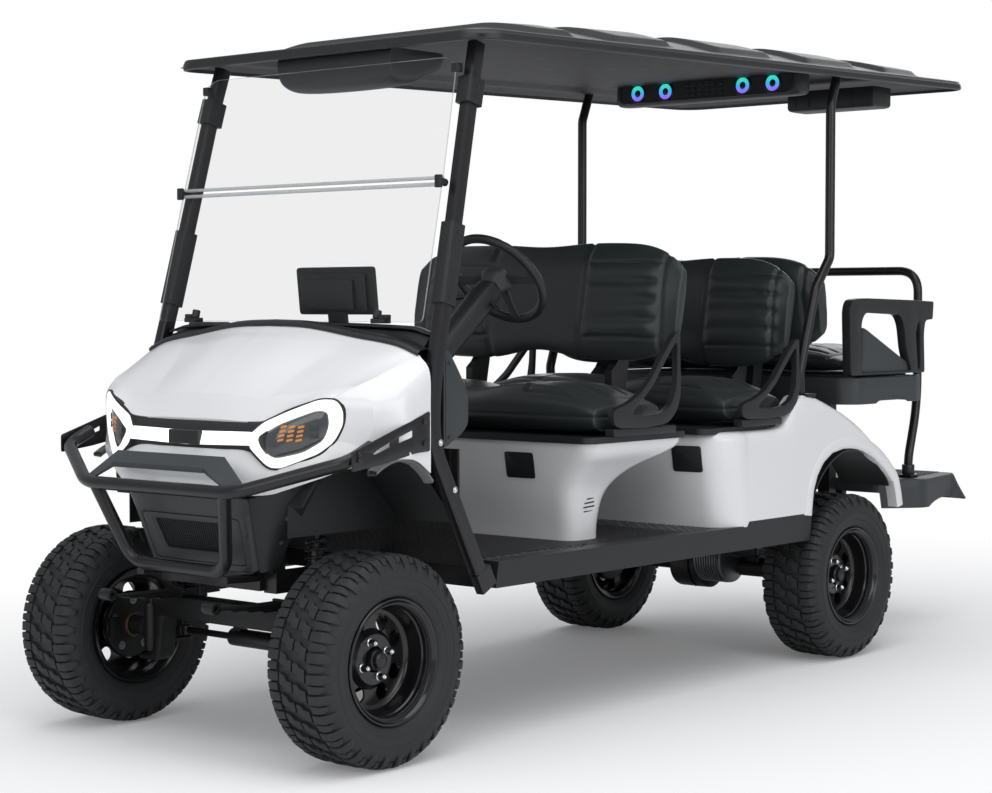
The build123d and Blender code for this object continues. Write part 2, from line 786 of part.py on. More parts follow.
def crowned(inset, raised):
    """Closed form under the crown, its skin moved in by inset and the whole raised."""
    lift = raised - inset
    crown = [(behind(d), lip_z(behind(d)) + rise + lift) for d, rise in crown_points]
    low = inset * 0.01
    with BuildPart() as form:
        with BuildSketch(Plane.YZ):
            with BuildLine():
                Polyline(
                    (roof_front, lip_z(roof_front) - low), *crown, (roof_back, lip_z(roof_back) - low), close=True
                )
            make_face()
        extrude(amount=roof_half_width, both=True)
        with BuildSketch(Plane.XY.offset(roof_front_lip - 20)):
            with Locations((0, (roof_front + roof_back) / 2)):
                RectangleRounded(2 * (roof_half_width - inset), roof_length - 2 * inset, 100 - inset)
        extrude(amount=300, mode=Mode.INTERSECT)
        # both sides fall to the lip, along the roof's climb to the rear
        edge = roof_half_width - inset
        side = [(edge - inward, roof_front_lip + rise + lift) for inward, rise in side_fall]
        top = roof_front_lip + 2 * roof_rise
        with BuildSketch(Plane.XZ.offset(-roof_front)):
            with BuildLine():
                Polyline(
                    (edge, roof_front_lip - 40), *side, (side[-1][0], top), (-side[-1][0], top),
                    *[(-x, z) for x, z in reversed(side)], (-edge, roof_front_lip - 40), close=True,
                )
            make_face()
        extrude(amount=roof_length, dir=(0, roof_length, roof_rise), mode=Mode.INTERSECT)
    return form.part


def roof_form(inset):
    """The crowned form with its ribs, skin moved in by inset."""
    raised = crowned(inset, rib_rise)
    rib_half = roof_half_width - rib_side - inset
    ribs = []
    for first, last in rib_bands:
        start = crown_z(first) - rib_rise
        stop = crown_z(last) - rib_rise
        band = placed([
            (first - 2 * rib_slope + inset, start), (first + rib_slope + inset, start + 3 * rib_rise),
            (last - rib_slope - inset, stop + 3 * rib_rise), (last + 2 * rib_slope - inset, stop),
        ])
        ribs.append(slab(Plane.YZ, band, -rib_half, rib_half) & raised)
    with BuildPart() as form:
        add(crowned(inset, 0))
        for rib in ribs:
            add(rib)
    return form.part


save(roof_form(0) - roof_form(roof_skin), "roof")

console_half = 236.0
with BuildPart() as overhead_console:
    add(slab(Plane.YZ, placed([(400, 1990), (400, 1900), (470, 1885), (640, 1950), (660, 2010)]), -console_half,
             console_half, corner=8))
save(overhead_console.part, "overhead_console")

sound_bar_half = 410.0
sound_bar_place = (behind(2392), 2000.0)
sound_bar_radius = 46.0
with BuildPart() as sound_bar:
    bar_plane = Plane(
        origin=(-sound_bar_half, *sound_bar_place), x_dir=(0, 1, 0), z_dir=(1, 0, 0)
    )
    with BuildSketch(bar_plane):
        Circle(sound_bar_radius)
    extrude(amount=2 * sound_bar_half)
    with Locations((0, sound_bar_place[0], 2068)):
        Box(2 * sound_bar_half - 120, 40, 60)
save(sound_bar.part, "sound_bar")

# ---------------------------------------------------------------- front guards
bumper_radius = 19.0
bumper_z = 748.0
bumper_low_z = 519.0
bumper_y = front_axle_y - front_overhang + bumper_radius
bumper_corner_x = 304.0
bumper_side_x = body_half_width - 18
bumper_side_line = [
    (bumper_side_x, behind(-50), 872), (bumper_side_x, behind(-134), 836), (bumper_corner_x, bumper_y, bumper_z),
    (0, bumper_y, bumper_z),
]
# the low hoop leans in and back below the tube
leg_head = (269.0, bumper_y + 4, bumper_z)
leg_foot = (193.0, bumper_y + 80, bumper_low_z)
bumper_low_line = [leg_head, leg_foot, (0, leg_foot[1], bumper_low_z)]
stay_front = leg_foot[1]
stay_back = behind(front_cross) - cross_depth / 2
stay_height = 23.0

with BuildPart() as front_bumper:
    add(round_bar(bumper_side_line, bumper_radius, 40))
    add(round_bar(bumper_low_line, bumper_radius, 50))
    # stays from the low hoop back to the frame's first cross member
    with Locations((rail_x - 42, (stay_front + stay_back) / 2, bumper_low_z - bumper_radius + stay_height / 2 - 20)):
        Box(30, stay_back - stay_front, stay_height)
    mirror(about=Plane.YZ)
save(front_bumper.part, "front_bumper")

guard_plate = 5.0


def plate(corners, thickness):
    """Flat plate through three corners, the fourth laid into their plane, thickened on one side."""
    first, second, third, fourth = [Vector(*corner) for corner in corners]
    normal = (second - first).cross(third - first).normalized()
    flat_fourth = fourth - normal * (fourth - first).dot(normal)
    with BuildPart() as solid:
        face_plane = Plane(origin=first, x_dir=second - first, z_dir=normal)
        with BuildSketch(face_plane):
            with BuildLine():
                flat = [face_plane.to_local_coords(corner) for corner in (first, second, third, flat_fourth)]
                Polyline(*[(p.X, p.Y) for p in flat], close=True)
            make_face()
        extrude(amount=-thickness)
    return solid.part


# side plates between the tube and the struts: distance behind the front axle, z
side_plate_line = placed([(-143, 863), (107, 942), (165, 962), (165, 850), (107, 848), (-25, 825), (-143, 811)])
side_plate_slots = [
    placed([(-64, 857), (4, 884), (4, 870), (-57, 852)]),
    placed([(38, 895), (91, 911), (91, 893), (38, 878)]),
]
# bent strap above the tube: front and rear edge of the bar and the arm's two feet
strap_front = (186.0, bumper_y + 4, bumper_z + 62)
strap_rear = (222.0, bumper_y + 50, bumper_z + 92)
strap_foot_rear = (324.0, bumper_y + 26, bumper_z + 20)
strap_foot_front = (267.0, bumper_y - 3, bumper_z + 16)
with BuildPart() as bumper_plates:
    plate_start = bumper_side_x + bumper_radius
    add(slab(Plane.YZ, side_plate_line, plate_start, plate_start + guard_plate, corner=6))
    for slot in side_plate_slots:
        add(slab(Plane.YZ, slot, plate_start - 1, plate_start + guard_plate + 1), mode=Mode.SUBTRACT)
    add(plate([strap_front, strap_rear, strap_foot_rear, strap_foot_front], -guard_plate))
    mirror(about=Plane.YZ)
    other_front, other_rear = [(-x, y, z) for x, y, z in (strap_front, strap_rear)]
    add(plate([strap_front, strap_rear, other_rear, other_front], guard_plate))
    # the plates end on the struts and the strap's arms on the tube
    add(front_struts.part, mode=Mode.SUBTRACT)
    add(front_bumper.part, mode=Mode.SUBTRACT)
save(bumper_plates.part, "bumper_plates")

guard_line = placed([(292, 1131), (317, 1116), (386, 1005), (384, 911), (280, 845)])
with BuildPart() as cowl_side_guards:
    add(slab(Plane.YZ, guard_line, dash_half, dash_half + 2 * panel, corner=5))
    mirror(about=Plane.YZ)
save(cowl_side_guards.part, "cowl_side_guards")

# ---------------------------------------------------------------- dashboard, column, pedals, display
with BuildPart() as dashboard:
    add(slab(Plane.YZ, dash_outline, -dash_half, dash_half))
    column_plane = Plane(origin=wheel_centre, x_dir=(1, 0, 0), z_dir=column_direction)
    with BuildSketch(column_plane):
        Circle(column_hole_radius)
    extrude(amount=900, mode=Mode.SUBTRACT)
save(dashboard.part, "dashboard")

column_cover_start = 46.0
column_cover_length = 300.0
column_length = 620.0
with BuildPart() as steering_column:
    with BuildSketch(column_plane.offset(column_cover_start)):
        Circle(40)
    extrude(amount=column_cover_length)
    with BuildSketch(column_plane.offset(column_cover_start)):
        Circle(20)
    extrude(amount=column_length)
save(steering_column.part, "steering_column")

grip_circle = steering_wheel_diameter / 2 - steering_wheel_grip
with BuildPart() as steering_wheel:
    with BuildSketch(Plane(origin=wheel_centre, x_dir=(1, 0, 0), z_dir=Vector(1, 0, 0).cross(column_direction))):
        with Locations((grip_circle, 0)):
            Circle(steering_wheel_grip)
    revolve(axis=Axis(wheel_centre, column_direction))
    with BuildSketch(column_plane.offset(-6)):
        Circle(48)
        for spoke_angle in (0, 180, 270):
            with PolarLocations(0, 1, start_angle=spoke_angle):
                with Locations((grip_circle / 2, 0)):
                    Rectangle(grip_circle, 34)
    extrude(amount=12)
    with BuildSketch(column_plane):
        Circle(34)
    extrude(amount=column_cover_start - 5)
save(steering_wheel.part, "steering_wheel")

pedal_line = placed([(470, 560), (430, 700), (336, 720), (336, 708), (420, 690), (458, 556)])
with BuildPart() as pedals:
    for pedal_x, pedal_width in ((wheel_place_x - 80, 90), (wheel_place_x + 60, 60)):
        add(slab(Plane.YZ, pedal_line, pedal_x - pedal_width / 2, pedal_x + pedal_width / 2))
save(pedals.part, "pedals")

with BuildPart() as display_screen:
    add(slab(Plane.YZ, placed([(262, 1222), (246, 1360), (268, 1362), (284, 1224)]), -8, 302, corner=6))
    add(slab(Plane.YZ, placed([(270, 1178), (262, 1300), (276, 1300), (284, 1160)]), 110, 180))
save(display_screen.part, "display_screen")

# ---------------------------------------------------------------- seat pods
pod_face_lean = 48.0  # the rim overhangs the foot of the pod's front face by this
pod_foot_half = body_half_width - 156
pod_top_half = body_half_width - 44
pod_top_back = behind(1450)
rim_depth = 20.0
pod_top = rim_height - rim_depth


def front_pod_form(inset):
    """The pod under the front bench: narrow at the floor, flared to the seat's width."""
    face = front_pod_face
    with BuildPart() as form:
        side = placed([
            (face + inset, floor_top), (face + 183 - inset, floor_top), (face + 196 - inset, pod_top - 218),
            (face + 232 - inset, pod_top - 140), (face + 300 - inset, pod_top - 76),
            (face + 400 - inset, pod_top - 48 + inset * 0.4), (face + 465 - inset, pod_top - 42 + inset),
            (face + 465 - inset, pod_top), (face - pod_face_lean + inset, pod_top),
        ])
        extrude(outline(Plane.YZ, side), amount=pod_top_half + 20, both=True)
        with BuildSketch(Plane.XZ.offset(-behind(face + 520))):
            with BuildLine():
                Polyline(
                    (-pod_foot_half + inset, floor_top), (pod_foot_half - inset, floor_top),
                    (pod_foot_half + 8 - inset, pod_top - 148), (pod_top_half - 22 - inset, pod_top - 48),
                    (pod_top_half - inset, pod_top), (-pod_top_half + inset, pod_top),
                    (-pod_top_half + 22 + inset, pod_top - 48), (-pod_foot_half - 8 + inset, pod_top - 148),
                    close=True,
                )
            make_face()
        extrude(amount=700, mode=Mode.INTERSECT)
    return form.part


with BuildPart() as front_pod:
    add(front_pod_form(0))
    add(front_pod_form(panel), mode=Mode.SUBTRACT)
    # the pod stands on the floor on its walls
    with Locations((0, behind(front_pod_face + 92), floor_top)):
        Box(2 * pod_foot_half - 40, 150, 20, mode=Mode.SUBTRACT)
save(front_pod.part, "front_pod")


def pod_rim(face, back):
    """Tray rim on top of a pod, from just ahead of its face to its back."""
    with BuildPart() as rim_tray:
        with BuildSketch(Plane.XY.offset(pod_top)):
            with Locations((0, (behind(face) + back) / 2)):
                RectangleRounded(2 * pod_top_half + 18, back - behind(face), 40)
        extrude(amount=rim_depth)
    return rim_tray.part



# ---------------------------------------------------------------- rear body
rear_body_tail = (behind(2752), 506.0)
fender_line = placed([(2010, 880), (2064, 944), (2261, 903), (2430, 838), (2560, 772)])
body_corner_half = body_half_width - 40
body_shoulder_half = body_half_width - 130
face_flat_half = 120.0


def rear_body_form(inset):
    """Closed form of the rear body: middle pod, side bolsters and rear fenders."""
    face = middle_pod_face
    with BuildPart() as form:
        with BuildSketch(Plane.YZ):
            with BuildLine():
                roofline = Polyline(
                    (behind(face - 8), floor_top), (behind(face - pod_face_lean), pod_top),
                    (behind(2001), pod_top), *fender_line,
                )
                tail = ThreePointArc(roofline @ 1, (behind(2690), 650), rear_body_tail)
                lip = Line(tail @ 1, (rear_body_tail[0] - 24, rear_body_tail[1]))
                back = Line(lip @ 1, arch_rear)
                arch = ThreePointArc(back @ 1, arch_top, arch_front)
                Polyline(arch @ 1, (arch_front[0], floor_top), (behind(face - 8), floor_top))
            make_face()
            offset(amount=-inset)
        extrude(amount=body_half_width, both=True)
        with BuildSketch(Plane.XY.offset(floor_top - 60)):
            with BuildLine():
                face_y = behind(face - pod_face_lean)
                left = [
                    (face_flat_half, face_y), (body_shoulder_half, behind(face + 2)),
                    (body_corner_half, behind(face + 30)), (body_half_width, behind(face + 90)),
                    (body_half_width, rear_body_tail[0] + 5),
                ]
                Polyline(*left, *[(-x, y) for x, y in reversed(left)], close=True)
            make_face()
            offset(amount=-inset)
        extrude(amount=600, mode=Mode.INTERSECT)
    return form.part


wheel_well_gap = 22.0
wheel_well_inner = wheel_x - tyre_width / 2 - wheel_well_gap
deck_half = rocker_inner
with BuildPart() as rear_body:
    add(rear_body_form(0))
    add(rear_body_form(panel), mode=Mode.SUBTRACT)
    # the body stands on the floor on its walls
    with Locations((0, behind(1872), floor_top)):
        Box(2 * rocker_inner - 20, 480, 20, mode=Mode.SUBTRACT)
    # raised part of the rockers
    for rocker_middle in (-body_half_width, body_half_width):
        with Locations((rocker_middle, (rocker_step + arch_front[0]) / 2, floor_top)):
            Box(
                2 * rocker_width + panel, arch_front[0] - rocker_step + 40, 2 * (arch_front[1] - floor_top),
                mode=Mode.SUBTRACT,
            )
    # open deck between the fenders
    with Locations((0, behind(2001 + 400), rim_height + 80)):
        Box(2 * deck_half, 800, 2 * (80 + rim_depth - 1), mode=Mode.SUBTRACT)
    # between the fenders the tail is open down to the seat box's posts
    with Locations((0, behind(2722), 700)):
        Box(2 * wheel_well_inner, 476, 700, mode=Mode.SUBTRACT)
save(rear_body.part, "rear_body")

rear_liner_outer = body_half_width - 12
with BuildPart() as rear_wheel_liners:
    with BuildSketch(Plane.YZ.offset(wheel_well_inner)):
        with BuildLine():
            inner_arc = ThreePointArc(
                (arch_front[0] + 6, arch_front[1]), (arch_top[0], arch_top[1] - 10),
                (arch_rear[0] - 6, arch_rear[1] - 10),
            )
            outer_arc = ThreePointArc(
                (arch_front[0] + 12, arch_front[1]), (arch_top[0], arch_top[1] - 16),
                (arch_rear[0] - 12, arch_rear[1] - 14),
            )
            Line(inner_arc @ 0, outer_arc @ 0)
            Line(inner_arc @ 1, outer_arc @ 1)
        make_face()
    extrude(amount=rear_liner_outer - wheel_well_inner)
    mirror(about=Plane.YZ)
save(rear_wheel_liners.part, "rear_wheel_liners")

with BuildPart() as seat_rims:
    add(pod_rim(front_pod_face - pod_face_lean - 6, pod_top_back + 6))
    add(pod_rim(middle_pod_face - pod_face_lean - 8, behind(1998)))
    deck_front = behind(1990)
    deck_back = behind(2478)
    with Locations((0, (deck_front + deck_back) / 2, rim_height - 7)):
        Box(2 * deck_half - 4, deck_back - deck_front, 14)
save(seat_rims.part, "seat_rims")

# ---------------------------------------------------------------- benches
cushion_half = body_half_width - 60
cushion_depth = 420.0
cushion_line = [
    (0, 60), (20, 140), (120, 164), (300, 158), (390, 150), (cushion_depth, 120), (cushion_depth, 0), (8, 0),
]
back_line = [
    (398, 216), (388, 330), (400, 500), (440, 612), (494, 618), (540, 560), (548, 430), (520, 300), (452, 212),
]


def bench_cushion(front_y, base_z, half):
    points = [(front_y + d, base_z + rise) for d, rise in cushion_line]
    return slab(Plane.YZ, points, -half, half, corner=14)


def bench_back(front_y, base_z, half):
    points = [(front_y + d, base_z + rise) for d, rise in back_line]
    return slab(Plane.YZ, points, -half, half, corner=12)


arm_outer = body_half_width - 2
arm_inner = arm_outer - 24
front_bench_y = behind(front_pod_face - pod_face_lean + 8)
middle_bench_y = front_bench_y + seat_pitch
bench_base = rim_height + seat_gap
back_half = cushion_half - 10
bracket_x = 300.0
bracket_half = 14.0

# name, y of the cushion's front edge, how much lower the back is than the front bench's, the back's half width
benches = [("front", front_bench_y, 0, arm_inner - 6), ("middle", middle_bench_y, 36, back_half)]
bracket_line = [
    (427, 0), (478, 0), (536, 290), (566, 434), (550, 436), (522, 300), (453, 211), (427, 190),
]
arm_line = [(70, 100), (410, 318), (424, 316), (424, 20), (400, 20), (80, 82)]
arm_window = [(130, 106), (396, 280), (400, 60)]
arm_foot = 320.0

for bench, bench_y, back_drop, bench_half in benches:
    save(bench_cushion(bench_y, bench_base, cushion_half), f"{bench}_seat_cushion")
    save(bench_back(bench_y, bench_base - back_drop, bench_half), f"{bench}_seat_back")

rear_bracket_line = placed([(2190, rim_height), (2240, rim_height), (2276, 1074), (2222, 1098)])
with BuildPart() as seat_back_brackets:
    bracket_lines = [rear_bracket_line]
    for bench, bench_y, back_drop, bench_half in benches:
        bracket_lines.append([(bench_y + d, rim_height + max(rise - back_drop, 0)) for d, rise in bracket_line])
    for line in bracket_lines:
        add(slab(Plane.YZ, line, bracket_x - bracket_half, bracket_x + bracket_half))
    mirror(about=Plane.YZ)
save(seat_back_brackets.part, "seat_back_brackets")

with BuildPart() as armrests:
    for bench, bench_y, back_drop, bench_half in benches:
        arm = [(bench_y + d, rim_height + rise) for d, rise in arm_line]
        window = [(bench_y + d, rim_height + rise) for d, rise in arm_window]
        add(slab(Plane.YZ, arm, arm_inner, arm_outer, corner=4))
        add(slab(Plane.YZ, window, arm_inner - 1, arm_outer + 1), mode=Mode.SUBTRACT)
        # feet on the pod's rim
        with Locations((arm_outer - 26, bench_y + arm_foot, rim_height + 20)):
            Box(52, 44, 40)
    # the middle bench's arms end on the fenders' front shoulders
    shoulder = placed([(2002, 800), (2002, 882), (2060, 948), (2140, 948), (2140, 800)])
    add(slab(Plane.YZ, shoulder, arm_inner - 60, arm_outer + 1), mode=Mode.SUBTRACT)
    mirror(about=Plane.YZ)
save(armrests.part, "armrests")

# ---------------------------------------------------------------- rear-facing seat
box_half = body_half_width - 40
box_rim = 45.0  # side walls; the front and rear walls are 30
box_wall = 6.0
box_front_y = behind(rear_box_face)
box_back_y = behind(rear_box_back)
box_middle_y = (box_front_y + box_back_y) / 2
box_length = box_back_y - box_front_y
deck_hinge = (box_back_y - 20, box_top + 8)
hinge_half = 300.0
hinge_lug = 16.0
hinge_pin_radius = 4.0
hinge_play = 0.3
hinge_barrel_radius = 7.0
with BuildPart() as rear_seat_box:
    with BuildSketch(Plane.XY.offset(box_bottom)):
        with Locations((0, box_middle_y)):
            RectangleRounded(2 * box_half, box_length, 30)
    extrude(amount=box_top - box_bottom)
    with BuildSketch(Plane.XY.offset(box_bottom + box_wall)):
        with Locations((0, box_middle_y)):
            RectangleRounded(2 * (box_half - box_rim), box_length - 60, 20)
    extrude(amount=box_top - box_bottom, mode=Mode.SUBTRACT)
    # hinge pin of the tipping seat on two lugs
    with BuildSketch(Plane(origin=(-hinge_half - hinge_lug, *deck_hinge), x_dir=(0, 1, 0), z_dir=(1, 0, 0))):
        Circle(hinge_pin_radius)
    extrude(amount=2 * (hinge_half + hinge_lug))
    for lug_x in (-hinge_half - hinge_lug / 2, hinge_half + hinge_lug / 2):
        with Locations((lug_x, deck_hinge[0], (box_top + deck_hinge[1] + hinge_barrel_radius) / 2)):
            Box(hinge_lug, 2 * hinge_barrel_radius, deck_hinge[1] + hinge_barrel_radius - box_top)
save(rear_seat_box.part, "rear_seat_box")

handle_outer = box_half - 2
handle_inner = handle_outer - 30
flip_half = handle_inner - 42
deck_thickness = 10.0
deck_gap = 1.0
flip_front_y = box_front_y + 8
with BuildPart() as rear_seat_deck:
    with Locations((0, (flip_front_y + deck_hinge[0]) / 2, box_top + deck_gap + deck_thickness / 2)):
        Box(2 * flip_half, deck_hinge[0] - flip_front_y, deck_thickness)
    # the deck is cut away beside the lugs and carries the hinge's barrel between them
    for lug_x in (-hinge_half - hinge_lug / 2, hinge_half + hinge_lug / 2):
        with Locations((lug_x, deck_hinge[0], deck_hinge[1])):
            Box(hinge_lug + 8, 2 * hinge_barrel_radius + 10, 40, mode=Mode.SUBTRACT)
    barrel_plane = Plane(origin=(2 - hinge_half, *deck_hinge), x_dir=(0, 1, 0), z_dir=(1, 0, 0))
    with BuildSketch(barrel_plane):
        Circle(hinge_barrel_radius)
    extrude(amount=2 * hinge_half - 4)
    with BuildSketch(barrel_plane.offset(-flip_half)):
        Circle(hinge_pin_radius + hinge_play)
    extrude(amount=4 * flip_half, mode=Mode.SUBTRACT)
save(rear_seat_deck.part, "rear_seat_deck")

flip_base = box_top + deck_gap + deck_thickness + seat_gap
rear_cushion_line = [(4, 0), (-8, 60), (10, 96), (120, 112), (380, 108), (470, 92), (496, 60), (490, 0)]
rear_cushion_points = [(flip_front_y + d, flip_base + rise) for d, rise in rear_cushion_line]
save(slab(Plane.YZ, rear_cushion_points, -flip_half + 4, flip_half - 4, corner=10), "rear_seat_cushion")

rear_back_points = placed([
    (2275, 1075), (2222, 1100), (2240, 1260), (2262, 1400), (2300, 1438), (2350, 1420), (2420, 1320), (2440, 1230),
    (2410, 1130), (2340, 1082),
])
save(slab(Plane.YZ, rear_back_points, -back_half, back_half, corner=14), "rear_seat_back")

handle_line = placed([
    (2488, box_top), (2460, 1024), (2452, 1228), (2546, 1274), (2891, 1270), (3066, 1268), (3058, 1206), (2984, 1196),
    (2996, box_top),
])
handle_window = placed([(2560, 1170), (2566, 1222), (2930, 1218), (2948, 1060), (2872, 1050)])
with BuildPart() as rear_handles:
    add(slab(Plane.YZ, handle_line, handle_inner, handle_outer, corner=8))
    add(slab(Plane.YZ, handle_window, handle_inner - 1, handle_outer + 1, corner=8), mode=Mode.SUBTRACT)
    mirror(about=Plane.YZ)
save(rear_handles.part, "rear_handles")

platform_half = body_half_width - 120
platform_wall = 5.0
platform_top = 588.0
platform_front = platform_back - 548
tread_height = 3.0
hoop_radius = 17.0
hoop_half = platform_half - 40
hoop_back = platform_back - 307
hoop_foot = hoop_back - 65
hoop_top = 1386.0
hoop_line = [
    (hoop_half, hoop_foot, platform_top), (hoop_half, hoop_foot, 660), (hoop_half, hoop_back, 870),
    (hoop_half, hoop_back, hoop_top), (0, hoop_back, hoop_top),
]
with BuildPart() as rear_hoop:
    add(round_bar([(x, behind(d), z) for x, d, z in hoop_line], hoop_radius, 60))
    with Locations((hoop_half, behind(hoop_foot), platform_top + 20)):
        Box(50, 60, 40)
    mirror(about=Plane.YZ)
save(rear_hoop.part, "rear_hoop")

platform_line = placed([
    (platform_front, platform_top - platform_wall), (platform_back - 68, platform_top - platform_wall),
    (platform_back - 12, 478), (platform_back, 478), (platform_back - 54, platform_top),
    (platform_front, platform_top),
])
skirt_line = placed([
    (platform_front, platform_top), (platform_back - 54, platform_top), (platform_back - 2, 480),
    (platform_back - 178, 500), (platform_front + 30, 478),
])
with BuildPart() as foot_platform:
    add(slab(Plane.YZ, platform_line, -platform_half, platform_half))
    for skirt_side in (-platform_half, platform_half - platform_wall):
        add(slab(Plane.YZ, skirt_line, skirt_side, skirt_side + platform_wall))
    # raised tread behind the hoop's feet
    tread_front = behind(hoop_foot + 50)
    tread_back = behind(platform_back - 70)
    with Locations((0, (tread_front + tread_back) / 2, platform_top + tread_height / 2)):
        Box(2 * platform_half - 30, tread_back - tread_front, tread_height)
    # arms on the frame's tail
    for carrier_x in (-rail_x, rail_x):
        with Locations((carrier_x, behind(platform_back - 288), platform_top - 25)):
            Box(40, 420, 40)
        with Locations((carrier_x, rail_back_y + 20, (rail_bottom + platform_top - platform_wall) / 2)):
            Box(40, 40, platform_top - platform_wall - rail_bottom)
save(foot_platform.part, "foot_platform")

with BuildPart() as tail_lamps:
    with Locations((body_half_width - 130, rear_body_tail[0] + 12, 640)):
        Box(60, 20, 90)
    mirror(about=Plane.YZ)
save(tail_lamps.part, "tail_lamps")
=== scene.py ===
"""Looks of the raised six-seat golf cart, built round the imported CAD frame. Metres, +Z up, the front looks along -Y."""

import math

import bmesh
import bpy
from mathutils import Matrix, Vector


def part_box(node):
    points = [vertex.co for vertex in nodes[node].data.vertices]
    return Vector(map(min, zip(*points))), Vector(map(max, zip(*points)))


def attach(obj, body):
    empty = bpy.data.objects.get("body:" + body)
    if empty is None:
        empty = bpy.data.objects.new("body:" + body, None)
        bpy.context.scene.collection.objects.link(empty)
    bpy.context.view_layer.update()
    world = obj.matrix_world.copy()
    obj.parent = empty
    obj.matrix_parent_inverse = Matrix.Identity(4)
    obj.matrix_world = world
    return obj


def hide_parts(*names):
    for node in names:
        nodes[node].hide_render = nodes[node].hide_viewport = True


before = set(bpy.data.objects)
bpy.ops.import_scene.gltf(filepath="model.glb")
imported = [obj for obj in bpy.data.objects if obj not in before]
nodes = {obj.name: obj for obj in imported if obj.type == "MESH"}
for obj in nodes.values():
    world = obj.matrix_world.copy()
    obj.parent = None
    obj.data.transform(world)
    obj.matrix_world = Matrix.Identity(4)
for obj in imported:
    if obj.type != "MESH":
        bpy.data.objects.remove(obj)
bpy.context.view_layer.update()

MM = 0.001
SIDES = (-1, 1)
AROUND = 2 * math.pi
RIGHT, BACK, UP = Vector((1, 0, 0)), Vector((0, 1, 0)), Vector((0, 0, 1))
front_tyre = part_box("tyre_front_left")
AXLE_Y = (front_tyre[0].y + front_tyre[1].y) / 2
TYRE_R = (front_tyre[1].z - front_tyre[0].z) / 2
WHEEL_X = (front_tyre[0].x + front_tyre[1].x) / 2
WHEELBASE = (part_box("tyre_rear_left")[0].y - front_tyre[0].y) / MM


def at(x, distance, z):
    """Point from millimetres: x, distance behind the front axle, height."""
    return Vector((x * MM, AXLE_Y + distance * MM, z * MM))


def mirrored(point):
    return Vector((-point.x, point.y, point.z))


# ---------------------------------------------------------------- mesh building
def add_object(name, data):
    obj = bpy.data.objects.new(name, data)
    bpy.context.scene.collection.objects.link(obj)
    return obj


def smooth_shaded(mesh, angle):
    for polygon in mesh.polygons:
        polygon.use_smooth = True
    mesh.set_sharp_from_angle(angle=math.radians(angle))
    return mesh


def make_real(obj, angle):
    """Puts the modifiers' result into the mesh, and shades it smooth except over sharp edges."""
    if obj.modifiers:
        bpy.context.view_layer.update()
        take_evaluated(obj)
    smooth_shaded(obj.data, angle)


def take_evaluated(obj):
    graph = bpy.context.evaluated_depsgraph_get()
    mesh, old = bpy.data.meshes.new_from_object(obj.evaluated_get(graph)), obj.data
    obj.modifiers.clear()
    obj.data = mesh
    bpy.data.meshes.remove(old)


def circle(count, start=0.0):
    return [AROUND * (k + start) / count for k in range(count)]


